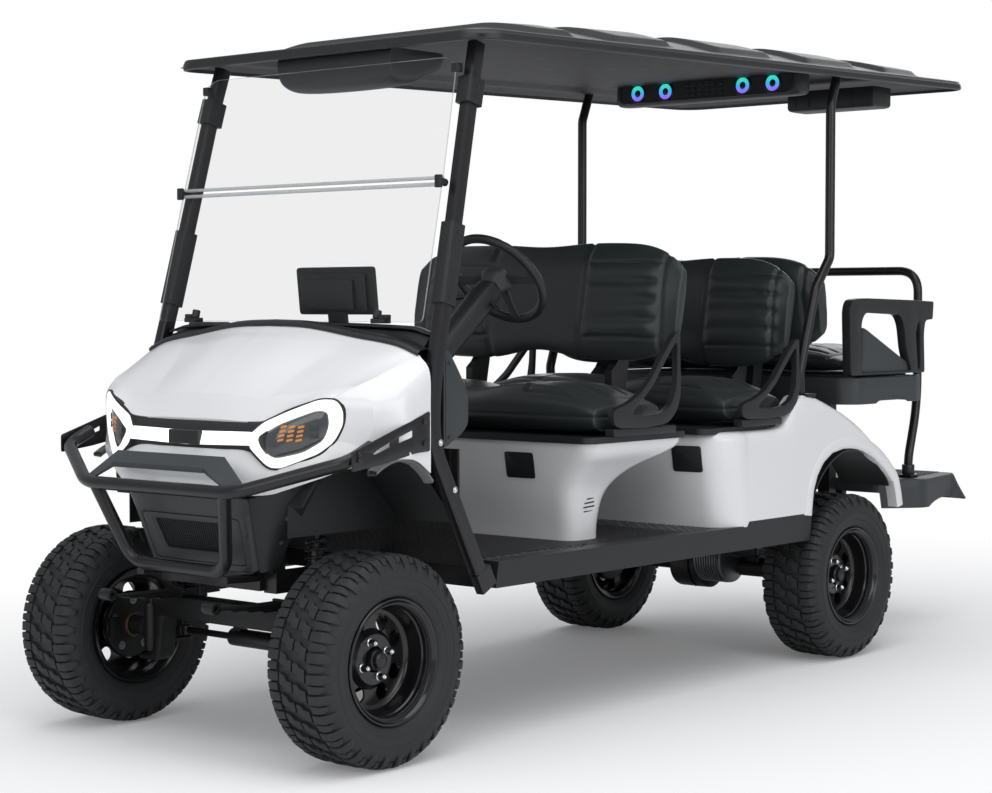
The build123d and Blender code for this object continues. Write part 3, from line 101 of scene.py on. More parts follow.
class Form:
    """Faces gathered into one mesh."""

    def __init__(self):
        self.bm = bmesh.new()

    def verts(self, points):
        return [self.bm.verts.new(p) for p in points]

    def face(self, corners, mat=0):
        try:
            made = self.bm.faces.new(corners)
        except ValueError:
            return
        made.material_index = mat

    def grid(self, rows, close_u=False, close_v=False, mat=0):
        """Quads between rows of points; returns the rows of vertices."""
        made = [self.verts(row) for row in rows]
        count_v, count_u = len(made), len(made[0])
        for v in range(count_v if close_v else count_v - 1):
            for u in range(count_u if close_u else count_u - 1):
                a, b = made[v], made[(v + 1) % count_v]
                self.face([a[u], a[(u + 1) % count_u], b[(u + 1) % count_u], b[u]], mat)
        return made

    def loft(self, rings, cap=True):
        """Closed rings joined in turn, with flat ends."""
        made = self.grid(rings, close_u=True)
        if cap:
            self.face(list(reversed(made[0])))
            self.face(made[-1])

    def box(self, low, high):
        low, high = Vector(map(min, low, high)), Vector(map(max, low, high))
        ring = [(low.x, low.y), (high.x, low.y), (high.x, high.y), (low.x, high.y)]
        self.loft([[Vector((x, y, z)) for x, y in ring] for z in (low.z, high.z)])

    def tube(self, path, radius, sides=16):
        """Round bar along a path; radius may be one number or one for each point."""
        radii = radius if isinstance(radius, list) else [radius] * len(path)
        rings, side = [], None
        for i, point in enumerate(path):
            run = (path[min(i + 1, len(path) - 1)] - path[max(i - 1, 0)]).normalized()
            side = side or run.orthogonal().normalized()
            side = (side - run * side.dot(run)).normalized()
            up = run.cross(side)
            rings.append([point + (side * math.cos(t) + up * math.sin(t)) * radii[i] for t in circle(sides)])
        self.loft(rings)

    def lathe(self, profile, origin, axis, steps=48, close=True, mat=0):
        """Profile of (distance along the axis, radius) turned about the axis; the profile's ends may meet."""
        axis = axis.normalized()
        side = axis.orthogonal().normalized()
        up = axis.cross(side)
        rows = []
        for t in circle(steps):
            out = side * math.cos(t) + up * math.sin(t)
            rows.append([origin + axis * d + out * r for d, r in profile])
        self.grid(rows, close_u=close, close_v=True, mat=mat)

    def mirror(self):
        """Copies everything to the other side of the cart."""
        copy = bmesh.ops.duplicate(self.bm, geom=self.bm.verts[:] + self.bm.edges[:] + self.bm.faces[:])
        for v in (g for g in copy["geom"] if isinstance(g, bmesh.types.BMVert)):
            v.co.x = -v.co.x
        bmesh.ops.reverse_faces(self.bm, faces=[g for g in copy["geom"] if isinstance(g, bmesh.types.BMFace)])
        return self

    def weld(self, distance=0.0002):
        bmesh.ops.remove_doubles(self.bm, verts=self.bm.verts, dist=distance)

    def outward(self):
        bmesh.ops.recalc_face_normals(self.bm, faces=self.bm.faces)

    def away_from_middle(self):
        """Turns the flat sheets of both sides to look away from the cart's middle plane."""
        self.outward()
        for face in self.bm.faces:
            if face.normal.x * face.calc_center_median().x < 0:
                face.normal_flip()

    def mesh(self, name, *mats):
        mesh = bpy.data.meshes.new(name)
        self.bm.to_mesh(mesh)
        self.bm.free()
        for mat in mats:
            mesh.materials.append(mat)
        return mesh

    def piece(self, name, mats, slot, replaces=None, body="chassis", bevel=0, segments=2, shell=0, angle=35,
              bevel_angle=30):
        """The finished object: optional shell thickness and bevels, made real in the mesh."""
        if not shell:
            self.outward()
        obj = add_object(name, self.mesh(name, *(mats if isinstance(mats, list) else [mats])))
        if shell:
            m = obj.modifiers.new("shell", "SOLIDIFY")
            m.thickness = shell
            m.offset = -1
            m.use_even_offset = True
        if bevel:
            m = obj.modifiers.new("edges", "BEVEL")
            m.width = bevel
            m.segments = segments
            m.limit_method = "ANGLE"
            m.angle_limit = math.radians(bevel_angle)
            m.use_clamp_overlap = True
        make_real(obj, angle)
        hand_over(obj, body, slot, replaces)


def hand_over(obj, body, slot, replaces):
    """Tells the frame which body carries the piece and hides the CAD node it stands for; slot is not used."""
    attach(obj, body)
    if replaces:
        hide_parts(replaces)


# ---------------------------------------------------------------- curves
def smoothstep(low, high, value):
    t = min(max((value - low) / (high - low), 0.0), 1.0)
    return t * t * (3 - 2 * t)


def height_on(line, d):
    """Height of a line of (distance, height) at that distance."""
    for (d0, z0), (d1, z1) in zip(line, line[1:]):
        if d <= d1:
            return z0 + (z1 - z0) * max(d - d0, 0) / (d1 - d0)
    return line[-1][1]


def bunched(count, power):
    """Shares from -1 to 1, closer together towards both ends."""
    shares = [-1 + 2 * k / count for k in range(count + 1)]
    return [math.copysign(1 - (1 - abs(u)) ** power, u) for u in shares]


def direction(path, i, closed=False):
    """Unit vector along the path at point i, from the point before to the one after."""
    if closed:
        return (path[(i + 1) % len(path)] - path[i - 1]).normalized()
    return (path[min(i + 1, len(path) - 1)] - path[max(i - 1, 0)]).normalized()


def spline(points, steps):
    """Smooth curve through the points, with that many steps between each two."""
    made, count = [], len(points)
    for i in range(count - 1):
        p1, p2 = points[i], points[i + 1]
        p0 = points[i - 1] if i > 0 else p1 + (p1 - p2)
        p3 = points[i + 2] if i + 2 < count else p2 + (p2 - p1)
        for k in range(steps):
            t = k / steps
            made.append(((p1 * 2) + (p2 - p0) * t + (p0 * 2 - p1 * 5 + p2 * 4 - p3) * t * t
                         + (p1 * 3 - p0 - p2 * 3 + p3) * t * t * t) / 2)
    made.append(points[-1].copy())
    return made


def surface(rows, steps_u, steps_v):
    """Smooth surface through a grid of points, finer by the given steps."""
    along = [spline(row, steps_u) if steps_u > 1 else row for row in rows]
    columns = [spline([row[i] for row in along], steps_v) for i in range(len(along[0]))]
    return [[column[j] for column in columns] for j in range(len(columns[0]))]


def rounded(points, radius, steps, closed=True):
    """Polyline with its corners rounded by arcs of about that radius, one for all or one each."""
    made, count = [], len(points)
    for i, corner in enumerate(points):
        if not closed and i in (0, count - 1):
            made.append(corner)
            continue
        r = radius[i] if isinstance(radius, list) else radius
        back, ahead = points[i - 1] - corner, points[(i + 1) % count] - corner
        cut = min(r, back.length * 0.49, ahead.length * 0.49)
        if cut < 1e-6:
            made.append(corner)
            continue
        a, b = corner + back.normalized() * cut, corner + ahead.normalized() * cut
        for k in range(steps + 1):
            t = k / steps
            made.append(a * (1 - t) ** 2 + corner * 2 * t * (1 - t) + b * t * t)
    return made


def rounded_pairs(pairs, radius, steps=4):
    return [(p.x, p.y) for p in rounded([Vector((a, b, 0)) for a, b in pairs], radius, steps)]


def upright(x0, x1, z0, z1, corner, steps=4):
    """Rounded rectangle across the cart."""
    return rounded([Vector((x, 0, z)) for x, z in ((x0, z0), (x1, z0), (x1, z1), (x0, z1))], corner, steps)


def spaced(loop, count):
    """Evenly spaced pairs round a closed loop of pairs."""
    points = [Vector((a, b, 0)) for a, b in loop]
    spans = [(points[(i + 1) % len(points)] - p).length for i, p in enumerate(points)]
    total, made, i, run = sum(spans), [], 0, 0.0
    for k in range(count):
        goal = total * k / count
        while run + spans[i] < goal:
            run += spans[i]
            i += 1
        p = points[i].lerp(points[(i + 1) % len(points)], (goal - run) / spans[i] if spans[i] else 0)
        made.append((p.x, p.y))
    return made


def superloop(half_y, half_z, power, steps):
    """Rounded box outline, from the front (-y) round over the top."""
    loop = []
    for t in circle(steps):
        c, s = -math.cos(t), math.sin(t)
        loop.append((math.copysign(abs(c) ** (2 / power), c) * half_y,
                     math.copysign(abs(s) ** (2 / power), s) * half_z))
    return loop


def sweep(form, path, width, depth, corner, across=RIGHT, cap=True):
    """Rounded rectangular bar along a path; width lies across the cart."""
    rings = []
    for i, p in enumerate(path):
        run = direction(path, i)
        side = (across - run * across.dot(run)).normalized()
        out = run.cross(side)
        rings.append(rounded([p + side * (width * a / 2) + out * (depth * b / 2)
                              for a, b in ((-1, -1), (1, -1), (1, 1), (-1, 1))], corner, 3))
    form.loft(rings, cap=cap)


def sheet(form, outer, holes, flat):
    """Flat face with holes; flat turns a pair into a point."""
    edges = []
    for loop in [outer] + holes:
        corners = form.verts([flat(*pair) for pair in loop])
        for i, corner in enumerate(corners):
            edges.append(form.bm.edges.new((corner, corners[(i + 1) % len(corners)])))
    bmesh.ops.triangle_fill(form.bm, edges=edges, use_beauty=True, use_dissolve=False)


def bolt(form, place, axis, radius, height):
    """Washer and domed head; sizes in millimetres."""
    profile = [(-1, 0.1), (-1, radius * 1.45), (1.0, radius * 1.45), (1.4, radius), (height * 0.7, radius * 0.94),
               (height, radius * 0.6), (height, 0.1)]
    form.lathe([(a * MM, r * MM) for a, r in profile], place, axis, steps=14, close=False)


# ---------------------------------------------------------------- materials
def fresh_tree(owner):
    owner.use_nodes = True
    owner.node_tree.nodes.clear()
    return owner.node_tree


def add_node(tree, kind, inputs=None, **settings):
    """New shader node; an input is given a value, or another node's output to be linked to."""
    made = tree.nodes.new("ShaderNode" + kind)
    for name, value in settings.items():
        setattr(made, name, value)
    for key, value in (inputs or {}).items():
        if isinstance(value, bpy.types.NodeSocket):
            tree.links.new(value, made.inputs[key])
        else:
            made.inputs[key].default_value = value
    return made


def bumped(tree, height, strength, distance, below):
    inputs = {"Strength": strength, "Distance": distance, "Height": height}
    if below:
        inputs["Normal"] = below
    return add_node(tree, "Bump", inputs).outputs["Normal"]


def noise(tree, place, scale, detail):
    return add_node(tree, "TexNoise", {"Scale": scale, "Detail": detail, "Vector": place}).outputs["Fac"]


def material(name, colour, roughness, metallic=0.0, spread=0.06, scale=40.0, grain=0.0, grain_scale=900.0, wave=0.0,
             wave_scale=6.0, coat=0.0, coat_roughness=0.1, emission=None, strength=0.0, alpha=1.0, sheen=0.0,
             leather=0.0, rough_spread=0.12):
    """Procedural finish: mottled colour and gloss, fine grain and broad unevenness in the bump."""
    mat = bpy.data.materials.new(name)
    tree = fresh_tree(mat)
    place = add_node(tree, "TexCoord").outputs["Object"]
    mottle = noise(tree, place, scale, 4.0)
    mix = add_node(tree, "Mix", data_type="RGBA")
    for socket, share in ((6, 1 - spread), (7, 1 + spread)):
        mix.inputs[socket].default_value = [min(1, c * share) for c in colour] + [1]
    tree.links.new(mottle, mix.inputs[0])
    gloss = add_node(tree, "MapRange", {"Value": mottle, "To Min": max(0.02, roughness * (1 - rough_spread)),
                                        "To Max": min(1.0, roughness * (1 + rough_spread))})
    inputs = {"Base Color": mix.outputs[2], "Roughness": gloss.outputs["Result"], "Metallic": metallic,
              "Coat Weight": coat, "Coat Roughness": coat_roughness, "Sheen Weight": sheen, "Alpha": alpha,
              "IOR": 1.45}
    if emission:
        inputs.update({"Emission Color": [*emission, 1], "Emission Strength": strength})
    normal = None
    if grain:
        normal = bumped(tree, noise(tree, place, grain_scale, 2.0), grain, 0.0006, normal)
    if leather:
        cells = add_node(tree, "TexVoronoi", {"Scale": 420.0, "Vector": place}, feature="DISTANCE_TO_EDGE")
        normal = bumped(tree, cells.outputs["Distance"], leather, 0.0004, normal)
    if wave:
        normal = bumped(tree, noise(tree, place, wave_scale, 1.0), wave, 0.004, normal)
    if normal:
        inputs["Normal"] = normal
    shader = add_node(tree, "BsdfPrincipled", inputs)
    add_node(tree, "OutputMaterial", {"Surface": shader.outputs["BSDF"]})
    return mat


def shader_of(mat):
    return next(n for n in mat.node_tree.nodes if n.type == "BSDF_PRINCIPLED")


WHITE = material("white_panels", (0.80, 0.80, 0.81), 0.22, spread=0.015, scale=3, wave=0.02, wave_scale=9, coat=0.5,
                 coat_roughness=0.06, grain=0.01, grain_scale=300)
BLACK_PLASTIC = material("black_plastic", (0.016, 0.017, 0.018), 0.42, spread=0.2, scale=25, grain=0.25,
                         grain_scale=700)
CHARCOAL = material("charcoal_plastic", (0.040, 0.045, 0.048), 0.46, spread=0.14, scale=22, grain=0.3,
                    grain_scale=800)
SATIN_BLACK = material("satin_black_metal", (0.010, 0.010, 0.011), 0.30, spread=0.25, scale=30, grain=0.12,
                       grain_scale=500, coat=0.15, coat_roughness=0.25)
ROOF_BLACK = material("roof_skin", (0.020, 0.021, 0.022), 0.40, spread=0.2, scale=9, grain=0.35, grain_scale=260,
                      wave=0.05)
AXLE_GREY = material("axle_steel", (0.014, 0.0145, 0.015), 0.42, metallic=0.3, spread=0.25, scale=35, grain=0.25,
                     grain_scale=240)
ALLOY = material("cast_alloy", (0.22, 0.225, 0.23), 0.40, metallic=0.85, spread=0.2, scale=20, grain=0.3,
                 grain_scale=260)
COPPER = material("brake_drum", (0.20, 0.12, 0.085), 0.45, metallic=0.8, spread=0.3, grain=0.2, grain_scale=300)
CHROME = material("bright_nuts", (0.72, 0.73, 0.74), 0.16, metallic=1.0, spread=0.05, scale=60, grain=0.02)
RIM_BLACK = material("rim_enamel", (0.007, 0.007, 0.008), 0.20, spread=0.3, scale=20, coat=0.35,
                     coat_roughness=0.08, wave=0.02, wave_scale=30)
RUBBER = material("tyre_rubber", (0.020, 0.021, 0.022), 0.60, spread=0.35, scale=14, grain=0.35, grain_scale=420,
                  wave=0.05, wave_scale=40)
VINYL = material("seat_vinyl", (0.027, 0.032, 0.033), 0.34, spread=0.12, scale=16, leather=0.22, wave=0.12,
                 wave_scale=24, rough_spread=0.18, sheen=0.05)
ACRYLIC = material("clear_acrylic", (0.045, 0.048, 0.048), 0.05, spread=0.20, scale=1.1, alpha=0.08, wave=0.01,
                   wave_scale=4)
ACRYLIC_EDGE = material("acrylic_edge", (0.50, 0.53, 0.54), 0.12, spread=0.05, scale=30, alpha=0.62)
# roof lining: black plastic made darker than the other blacks, as painted shade for the roof's underside
LINING_WITH_PAINTED_SHADE = material("roof_lining_painted_shade", (0.006, 0.006, 0.0065), 0.55, spread=0.2, scale=20, grain=0.3, grain_scale=700)
TRIM_GREY = material("grey_trim", (0.17, 0.175, 0.18), 0.45, spread=0.12, scale=22, grain=0.3, grain_scale=800)
MAT_RUBBER = material("floor_mat", (0.010, 0.010, 0.011), 0.55, spread=0.3, scale=18, grain=0.4, grain_scale=350)
LENS = material("lamp_lens", (0.055, 0.058, 0.062), 0.10, spread=0.1, scale=30, coat=0.8, coat_roughness=0.03)
GLOW = material("lamp_glow", (0.9, 0.9, 0.9), 0.3, spread=0.02, emission=(1.0, 1.0, 1.0), strength=0.84)
AMBER = material("lamp_amber", (0.55, 0.22, 0.05), 0.35, spread=0.2, scale=80, emission=(1.0, 0.42, 0.08),
                 strength=0.10)
RING_GLOW = material("ring_glow", (0.03, 0.10, 0.20), 0.3, spread=0.5, scale=60, emission=(0.1, 0.5, 0.7),
                     strength=1.0)
RED_LENS = material("tail_red", (0.34, 0.008, 0.008), 0.16, spread=0.12, scale=60, coat=0.6, coat_roughness=0.04)
SCREEN = material("display_glass", (0.010, 0.011, 0.013), 0.10, spread=0.2, scale=12, coat=0.7,
                  coat_roughness=0.03)

# the floor mat's crossing ridges, over its own bump
tree, shader = MAT_RUBBER.node_tree, shader_of(MAT_RUBBER)
place = add_node(tree, "TexCoord").outputs["Object"]
ridges = []
for turn in (-0.62, 0.62):
    spun = add_node(tree, "Mapping", {"Vector": place, "Rotation": (0, 0, turn)})
    ripple = add_node(tree, "TexWave", {"Vector": spun.outputs["Vector"], "Scale": 14.0})
    ridges.append(add_node(tree, "MapRange", {"Value": ripple.outputs["Fac"], "From Min": 0.62, "From Max": 0.80}))
crossed = add_node(tree, "Math", dict(enumerate(ridge.outputs["Result"] for ridge in ridges)), operation="MAXIMUM")
own_bump = shader.inputs["Normal"].links[0].from_socket
tree.links.new(bumped(tree, crossed.outputs["Value"], 1.0, 0.003, own_bump), shader.inputs["Normal"])

# speaker rings turn from violet below through blue to green above
RING_SPAN = (2.023, 2.079)
tree = RING_GLOW.node_tree
split = add_node(tree, "SeparateXYZ", {0: add_node(tree, "TexCoord").outputs["Object"]})
span = add_node(tree, "MapRange", {"Value": split.outputs["Z"], "From Min": RING_SPAN[0], "From Max": RING_SPAN[1]})
fan = add_node(tree, "ValToRGB", {"Fac": span.outputs["Result"]})
stops = fan.color_ramp.elements
stops[0].color, stops[1].color = (0.30, 0.06, 0.95, 1), (0.03, 0.80, 0.35, 1)
stops.new(0.5).color = (0.04, 0.40, 0.85, 1)
tree.links.new(fan.outputs["Color"], shader_of(RING_GLOW).inputs["Emission Color"])


# ---------------------------------------------------------------- wheels
# outlines as (axial, radius) from the wheel's middle, outward positive
CARCASS = [(0, 281), (45, 281), (72, 280), (88, 277), (99, 269), (108, 255), (113.5, 236), (113, 214), (106, 193),
           (99, 180), (93, 174)]
CARCASS_INSIDE = [(88, 172), (88, 153), (78, 153), (84, 172), (100, 214), (96, 250), (60, 268)]
SIDEWALL_RINGS = [(114.5, 228), (110.2, 203)]
PITCHES = 32
# one pitch on one side: rows of (profile distance, left edge, right edge, height), edges in shares of the pitch
TREAD_BLOCKS = [
    [(3, 0.02, 0.50, 11), (20, 0.06, 0.56, 11), (27, 0.24, 0.80, 11), (46, 0.34, 0.92, 11)],
    [(52, 0.52, 0.93, 11), (72, 0.50, 0.95, 11), (88, 0.48, 0.96, 11), (101, 0.49, 0.94, 9), (116, 0.52, 0.90, 6),
     (128, 0.56, 0.84, 3)],
    [(56, 0.02, 0.40, 11), (74, 0.02, 0.40, 11), (89, 0.04, 0.38, 10), (103, 0.08, 0.34, 6)],
]
TREAD_TAPER, TREAD_ROOT, TREAD_CHAMFER, TREAD_END_DROP = 0.05, -3, 1.5, 2.5
RIM_FACE = [(88, 171), (93, 173.2), (98, 173.2), (100.5, 171), (100.5, 168), (98, 165), (93, 162.5), (90, 158),
            (80, 155), (77, 152.5), (66, 151), (62, 147.5), (40, 146), (22, 144), (15, 141), (10.5, 135), (9, 128),
            (9, 124), (9, 84), (12, 80), (22, 72), (25, 69), (25.5, 64), (25.5, 36)]
RIM_BACK = [(18, 36), (18, 60), (4, 78), (2, 90), (2, 126), (4, 138), (-20, 141), (-62, 143), (-66, 147), (-88, 150),
            (-92, 160), (-96, 172), (-101, 171), (-99, 164), (-90, 150), (-78, 148.4), (-62, 148.8), (40, 149.6),
            (84, 158), (88, 165)]
RIM_HOLE_RADIUS, RIM_HOLE_REACH, RIM_HOLE_TURN = 0.0225, 0.104, 19.5
NUT = [(0, 11.5), (2, 12.5), (3, 10.4), (17, 10.4), (22, 8.6), (26, 5.0), (27.5, 1.5)]
NUT_REACH, NUT_TURN = 0.0508, 20
CAP = [(20, 30), (33, 30), (38, 28.5), (41, 25), (46, 24), (52, 22), (55, 17), (56, 0.5)]


def round_axle(form, outline, steps, **options):
    form.lathe([(a * MM, r * MM) for a, r in outline], Vector(), RIGHT, steps=steps, **options)


def on_wheel(axial, angle, reach):
    return Vector((axial, math.cos(angle) * reach, math.sin(angle) * reach))


def carcass(s):
    """Point (axial, radius) and outward normal on the carcass, s millimetres of profile from the middle plane."""
    for (a0, r0), (a1, r1) in zip(CARCASS, CARCASS[1:]):
        run = math.hypot(a1 - a0, r1 - r0)
        if s <= run or (a1, r1) == CARCASS[-1]:
            t = min(s / run, 1.0)
            return a0 + (a1 - a0) * t, r0 + (r1 - r0) * t, -(r1 - r0) / run, (a1 - a0) / run
        s -= run


def tread_block(block, side, start, pitch):
    """Rings of one block, from its edge in the middle to its edge at the shoulder."""
    rings = []
    for i, (s, left, right, height) in enumerate(block):
        a, r, na, nr = carcass(s)
        top = height - (TREAD_END_DROP if i in (0, len(block) - 1) else 0)
        ring = []
        for share, rise in ((left, TREAD_ROOT), (left, top - TREAD_CHAMFER), (left + TREAD_TAPER, top),
                            (right - TREAD_TAPER, top), (right, top - TREAD_CHAMFER), (right, TREAD_ROOT)):
            ring.append(on_wheel(side * (a + na * rise) * MM, start + share * pitch * side, (r + nr * rise) * MM))
        rings.append(ring)
    return rings


def tyre_mesh():
    form = Form()
    outline = [(-a, r) for a, r in reversed(CARCASS)][:-1] + CARCASS + CARCASS_INSIDE
    round_axle(form, outline + [(-a, r) for a, r in reversed(CARCASS_INSIDE)], 96)
    for a, r in SIDEWALL_RINGS:
        for side in SIDES:
            ring = [(a - 3, r - 3.5), (a, r - 1.5), (a, r + 1.5), (a - 3, r + 3.5)]
            round_axle(form, [(side * across, radius) for across, radius in ring], 96)
    pitch = AROUND / PITCHES
    for side in SIDES:
        for k in range(PITCHES):
            for block in TREAD_BLOCKS:
                form.loft(tread_block(block, side, (k + (0.5 if side > 0 else 0)) * pitch, pitch))
    form.outward()
    return smooth_shaded(form.mesh("tyre", RUBBER), 28)


def rim_mesh():
    """Steel wheel for the left side: deep dish, disc with eight round holes in pairs."""
    form, cutters = Form(), Form()
    round_axle(form, RIM_FACE + RIM_BACK, 72)
    for pair in range(4):
        for half in SIDES:
            angle = math.radians(45 + 90 * pair + RIM_HOLE_TURN * half)
            cutters.tube([on_wheel(a, angle, RIM_HOLE_REACH) for a in (-0.02, 0.04)], RIM_HOLE_RADIUS, sides=24)
    form.outward()
    cutters.outward()
    rim, holes = [add_object(name, made.mesh(name)) for name, made in (("rim_shape", form), ("rim_holes", cutters))]
    m = rim.modifiers.new("holes", "BOOLEAN")
    m.operation = "DIFFERENCE"
    m.object = holes
    m.solver = "EXACT"
    make_real(rim, 30)
    done = rim.data
    for obj in (holes, rim):
        bpy.data.objects.remove(obj)
    done.materials.clear()
    done.materials.append(RIM_BLACK)
    return done


def hub_mesh():
    """Bright nuts and the black cap in the middle of the disc."""
    form = Form()
    for k in range(4):
        centre = on_wheel(0.0245, math.radians(90 * k + NUT_TURN), NUT_REACH)
        rings = []
        for depth, radius in NUT:
            flats = [radius * (1.0 if j % 2 == 0 or depth in (0, 2) else 0.9) for j in range(12)]
            rings.append([centre + on_wheel(depth, turn, flat) * MM for turn, flat in zip(circle(12), flats)])
        form.loft(rings)
    round_axle(form, CAP, 32, close=False, mat=1)
    form.outward()
    return smooth_shaded(form.mesh("hub", CHROME, SATIN_BLACK), 32)


wheel_parts = (("tread_", tyre_mesh(), "tyre_rubber", "tyre_"), ("wheel_", rim_mesh(), "rim_black", "rim_"),
               ("hub_", hub_mesh(), "rim_black", None))
for wheel, side, distance in (("front_left", 1, 0), ("front_right", -1, 0), ("rear_left", 1, WHEELBASE),
                              ("rear_right", -1, WHEELBASE)):
    place = Matrix.Translation(at(side * WHEEL_X / MM, distance, TYRE_R / MM))
    if side < 0:
        place = place @ Matrix.Rotation(math.pi, 4, "Z")
    for label, shape, slot, stands_for in wheel_parts:
        part = add_object(label + wheel, shape)
        part.matrix_world = place
        hand_over(part, "wheel_" + wheel, slot, stands_for and stands_for + wheel)


# ---------------------------------------------------------------- seats
CLOTH = {"use_pressure": True, "uniform_pressure_force": 4.0, "quality": 4, "tension_stiffness": 18,
         "compression_stiffness": 18, "shear_stiffness": 8, "bending_stiffness": 6.0}
CLOTH_STEPS, CLOTH_CAP, RELAX_STEPS = 20, 0.018, 7
SEAT_SECTIONS, SEAT_AROUND, BUNCHING = 56, 72, 1.35
SEAM_WIDTH = 0.0055


def puff(obj):
    """Swells a cushion with cloth under pressure, no point moving further than the cap."""
    start = [v.co.copy() for v in obj.data.vertices]
    settings = obj.modifiers.new("cloth", "CLOTH").settings
    for name, value in CLOTH.items():
        setattr(settings, name, value)
    settings.effector_weights.gravity = 0
    for step in range(1, CLOTH_STEPS + 1):
        bpy.context.scene.frame_set(step)
    graph = bpy.context.evaluated_depsgraph_get()
    mesh = bpy.data.meshes.new_from_object(obj.evaluated_get(graph))
    bpy.context.scene.frame_set(1)
    obj.modifiers.clear()
    old, obj.data = obj.data, mesh
    bpy.data.meshes.remove(old)
    for vertex, before in zip(obj.data.vertices, start):
        moved = vertex.co - before
        if moved.length > CLOTH_CAP:
            vertex.co = before + moved.normalized() * CLOTH_CAP


def span_of(obj):
    points = [v.co for v in obj.data.vertices]
    return [(min(p[axis] for p in points), max(p[axis] for p in points)) for axis in range(3)]


def refit(obj, spans):
    """Brings a swollen cushion back to the spans it started from."""
    now = span_of(obj)
    for vertex in obj.data.vertices:
        for axis, ((low, high), (start, end)) in enumerate(zip(now, spans)):
            vertex.co[axis] = start + (vertex.co[axis] - low) * (end - start) / (high - low)


def relax(obj, steps):
    bm = bmesh.new()
    bm.from_mesh(obj.data)
    for _ in range(steps):
        bmesh.ops.smooth_vert(bm, verts=bm.verts, factor=0.5, use_axis_x=True, use_axis_y=True, use_axis_z=True)
    bm.to_mesh(obj.data)
    bm.free()


def padded_form(name, sections, power, tilt):
    """Closed cushion through sections of (x, centre y, centre z, half depth, half height), leaning back by tilt."""
    form = Form()
    c, s = math.cos(math.radians(tilt)), math.sin(math.radians(tilt))
    form.loft([[Vector((x, y + a * c + b * s, z - a * s + b * c))
                for a, b in superloop(half_y, half_z, power, SEAT_AROUND)] for x, y, z, half_y, half_z in sections])
    form.outward()
    obj = add_object(name, form.mesh(name))
    spans = span_of(obj)
    puff(obj)
    relax(obj, RELAX_STEPS)
    refit(obj, spans)
    obj.data.materials.clear()
    obj.data.materials.append(VINYL)
    fine = obj.modifiers.new("fine", "SUBSURF")
    fine.levels = fine.render_levels = 1
    make_real(obj, 180)
    obj.data.update()
    return obj, [v.normal.copy() for v in obj.data.vertices]


def finish_seat(obj, node, body):
    """Keeps the cushion within its CAD box, then hands it over to the frame."""
    low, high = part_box(node)
    for vertex in obj.data.vertices:
        for axis in range(3):
            vertex.co[axis] = min(max(vertex.co[axis], low[axis] - 0.006), high[axis] + 0.006)
    for polygon in obj.data.polygons:
        polygon.use_smooth = True
    hand_over(obj, body, "seat_vinyl", node)


def ditch(distance, width=SEAM_WIDTH):
    """Cross section of a sewn line, 1 in its middle."""
    return math.exp(-(distance / width) ** 2)


def between(value, low, low_end, high, high_end):
    """1 between the two bounds, fading out beyond them."""
    return smoothstep(low, low_end, value) * (1 - smoothstep(high, high_end, value))


def hump_at(x, reach):
    return 0.5 + 0.5 * math.cos(min(abs(x) / reach, 1) * math.pi)


def end_share(u, power, least):
    return max((1 - abs(u) ** power) ** 0.5 if abs(u) < 1 else 0.0, least)


def seat_back(name, node, facing=-1):
    """Backrest: two channelled pads, smooth middle, end bolsters. facing is -1 forwards, +1 backwards."""
    top_dip, foot_dip, end_round, tilt = 10 * MM, 28 * MM, 0.06, 12.0 * -facing
    low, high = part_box(node)
    # plain numbers, not a Vector: the cloth magnifies a rounded last digit into millimetres
    mid_y, mid_z = (low.y + high.y) / 2, (low.z + high.z) / 2
    half_y, half_z = (high.y - low.y) / 2, (high.z - low.z) / 2
    thick = min(0.075, half_y * 0.62) - 0.010
    sections = []
    for u in bunched(SEAT_SECTIONS, BUNCHING):
        x = u * high.x
        end = end_share(u, 7, 0.30)
        top, foot = [half_z - 0.006 - dip * hump_at(x, 0.20) for dip in (top_dip, foot_dip)]
        sections.append((x, mid_y, mid_z + (top - foot) / 2, thick * (0.35 + 0.65 * end),
                         ((top + foot) / 2 - end_round * abs(u) ** 6) * (0.62 + 0.38 * end)))
    obj, normals = padded_form(name, sections, 2.7, tilt)
    lean = math.radians(tilt)
    up = Vector((0, math.sin(lean), math.cos(lean)))
    front = Vector((0, math.cos(lean), -math.sin(lean))) * facing
    centre = Vector((0, mid_y, mid_z))
    pitch, pad_inner, pad_outer = 0.061, 0.197, high.x * 0.885
    first = -2 * pitch - 0.004
    for vertex, normal in zip(obj.data.vertices, normals):
        side = abs(vertex.co.x)
        # the seams down both sides of each pad, and round the end panel
        seam = ditch(side - pad_inner) * 0.0075 * smoothstep(-0.75, -0.2, normal.dot(front))
        seam += ditch(side - pad_outer) * 0.0055
        # the channels across each pad
        phase = ((vertex.co - centre).dot(up) - first) / pitch
        wave = abs(math.sin(math.pi * phase))
        channel = (ditch(wave, 0.20) * 0.0105 - 0.0060 * wave) * between(phase, -0.35, 0.0, 4.0, 4.35)
        channel *= between(side, 0.203, 0.225, 0.455, 0.50) * smoothstep(0.15, 0.55, normal.dot(front))
        vertex.co -= normal * (seam + channel)
    finish_seat(obj, node, "chassis")


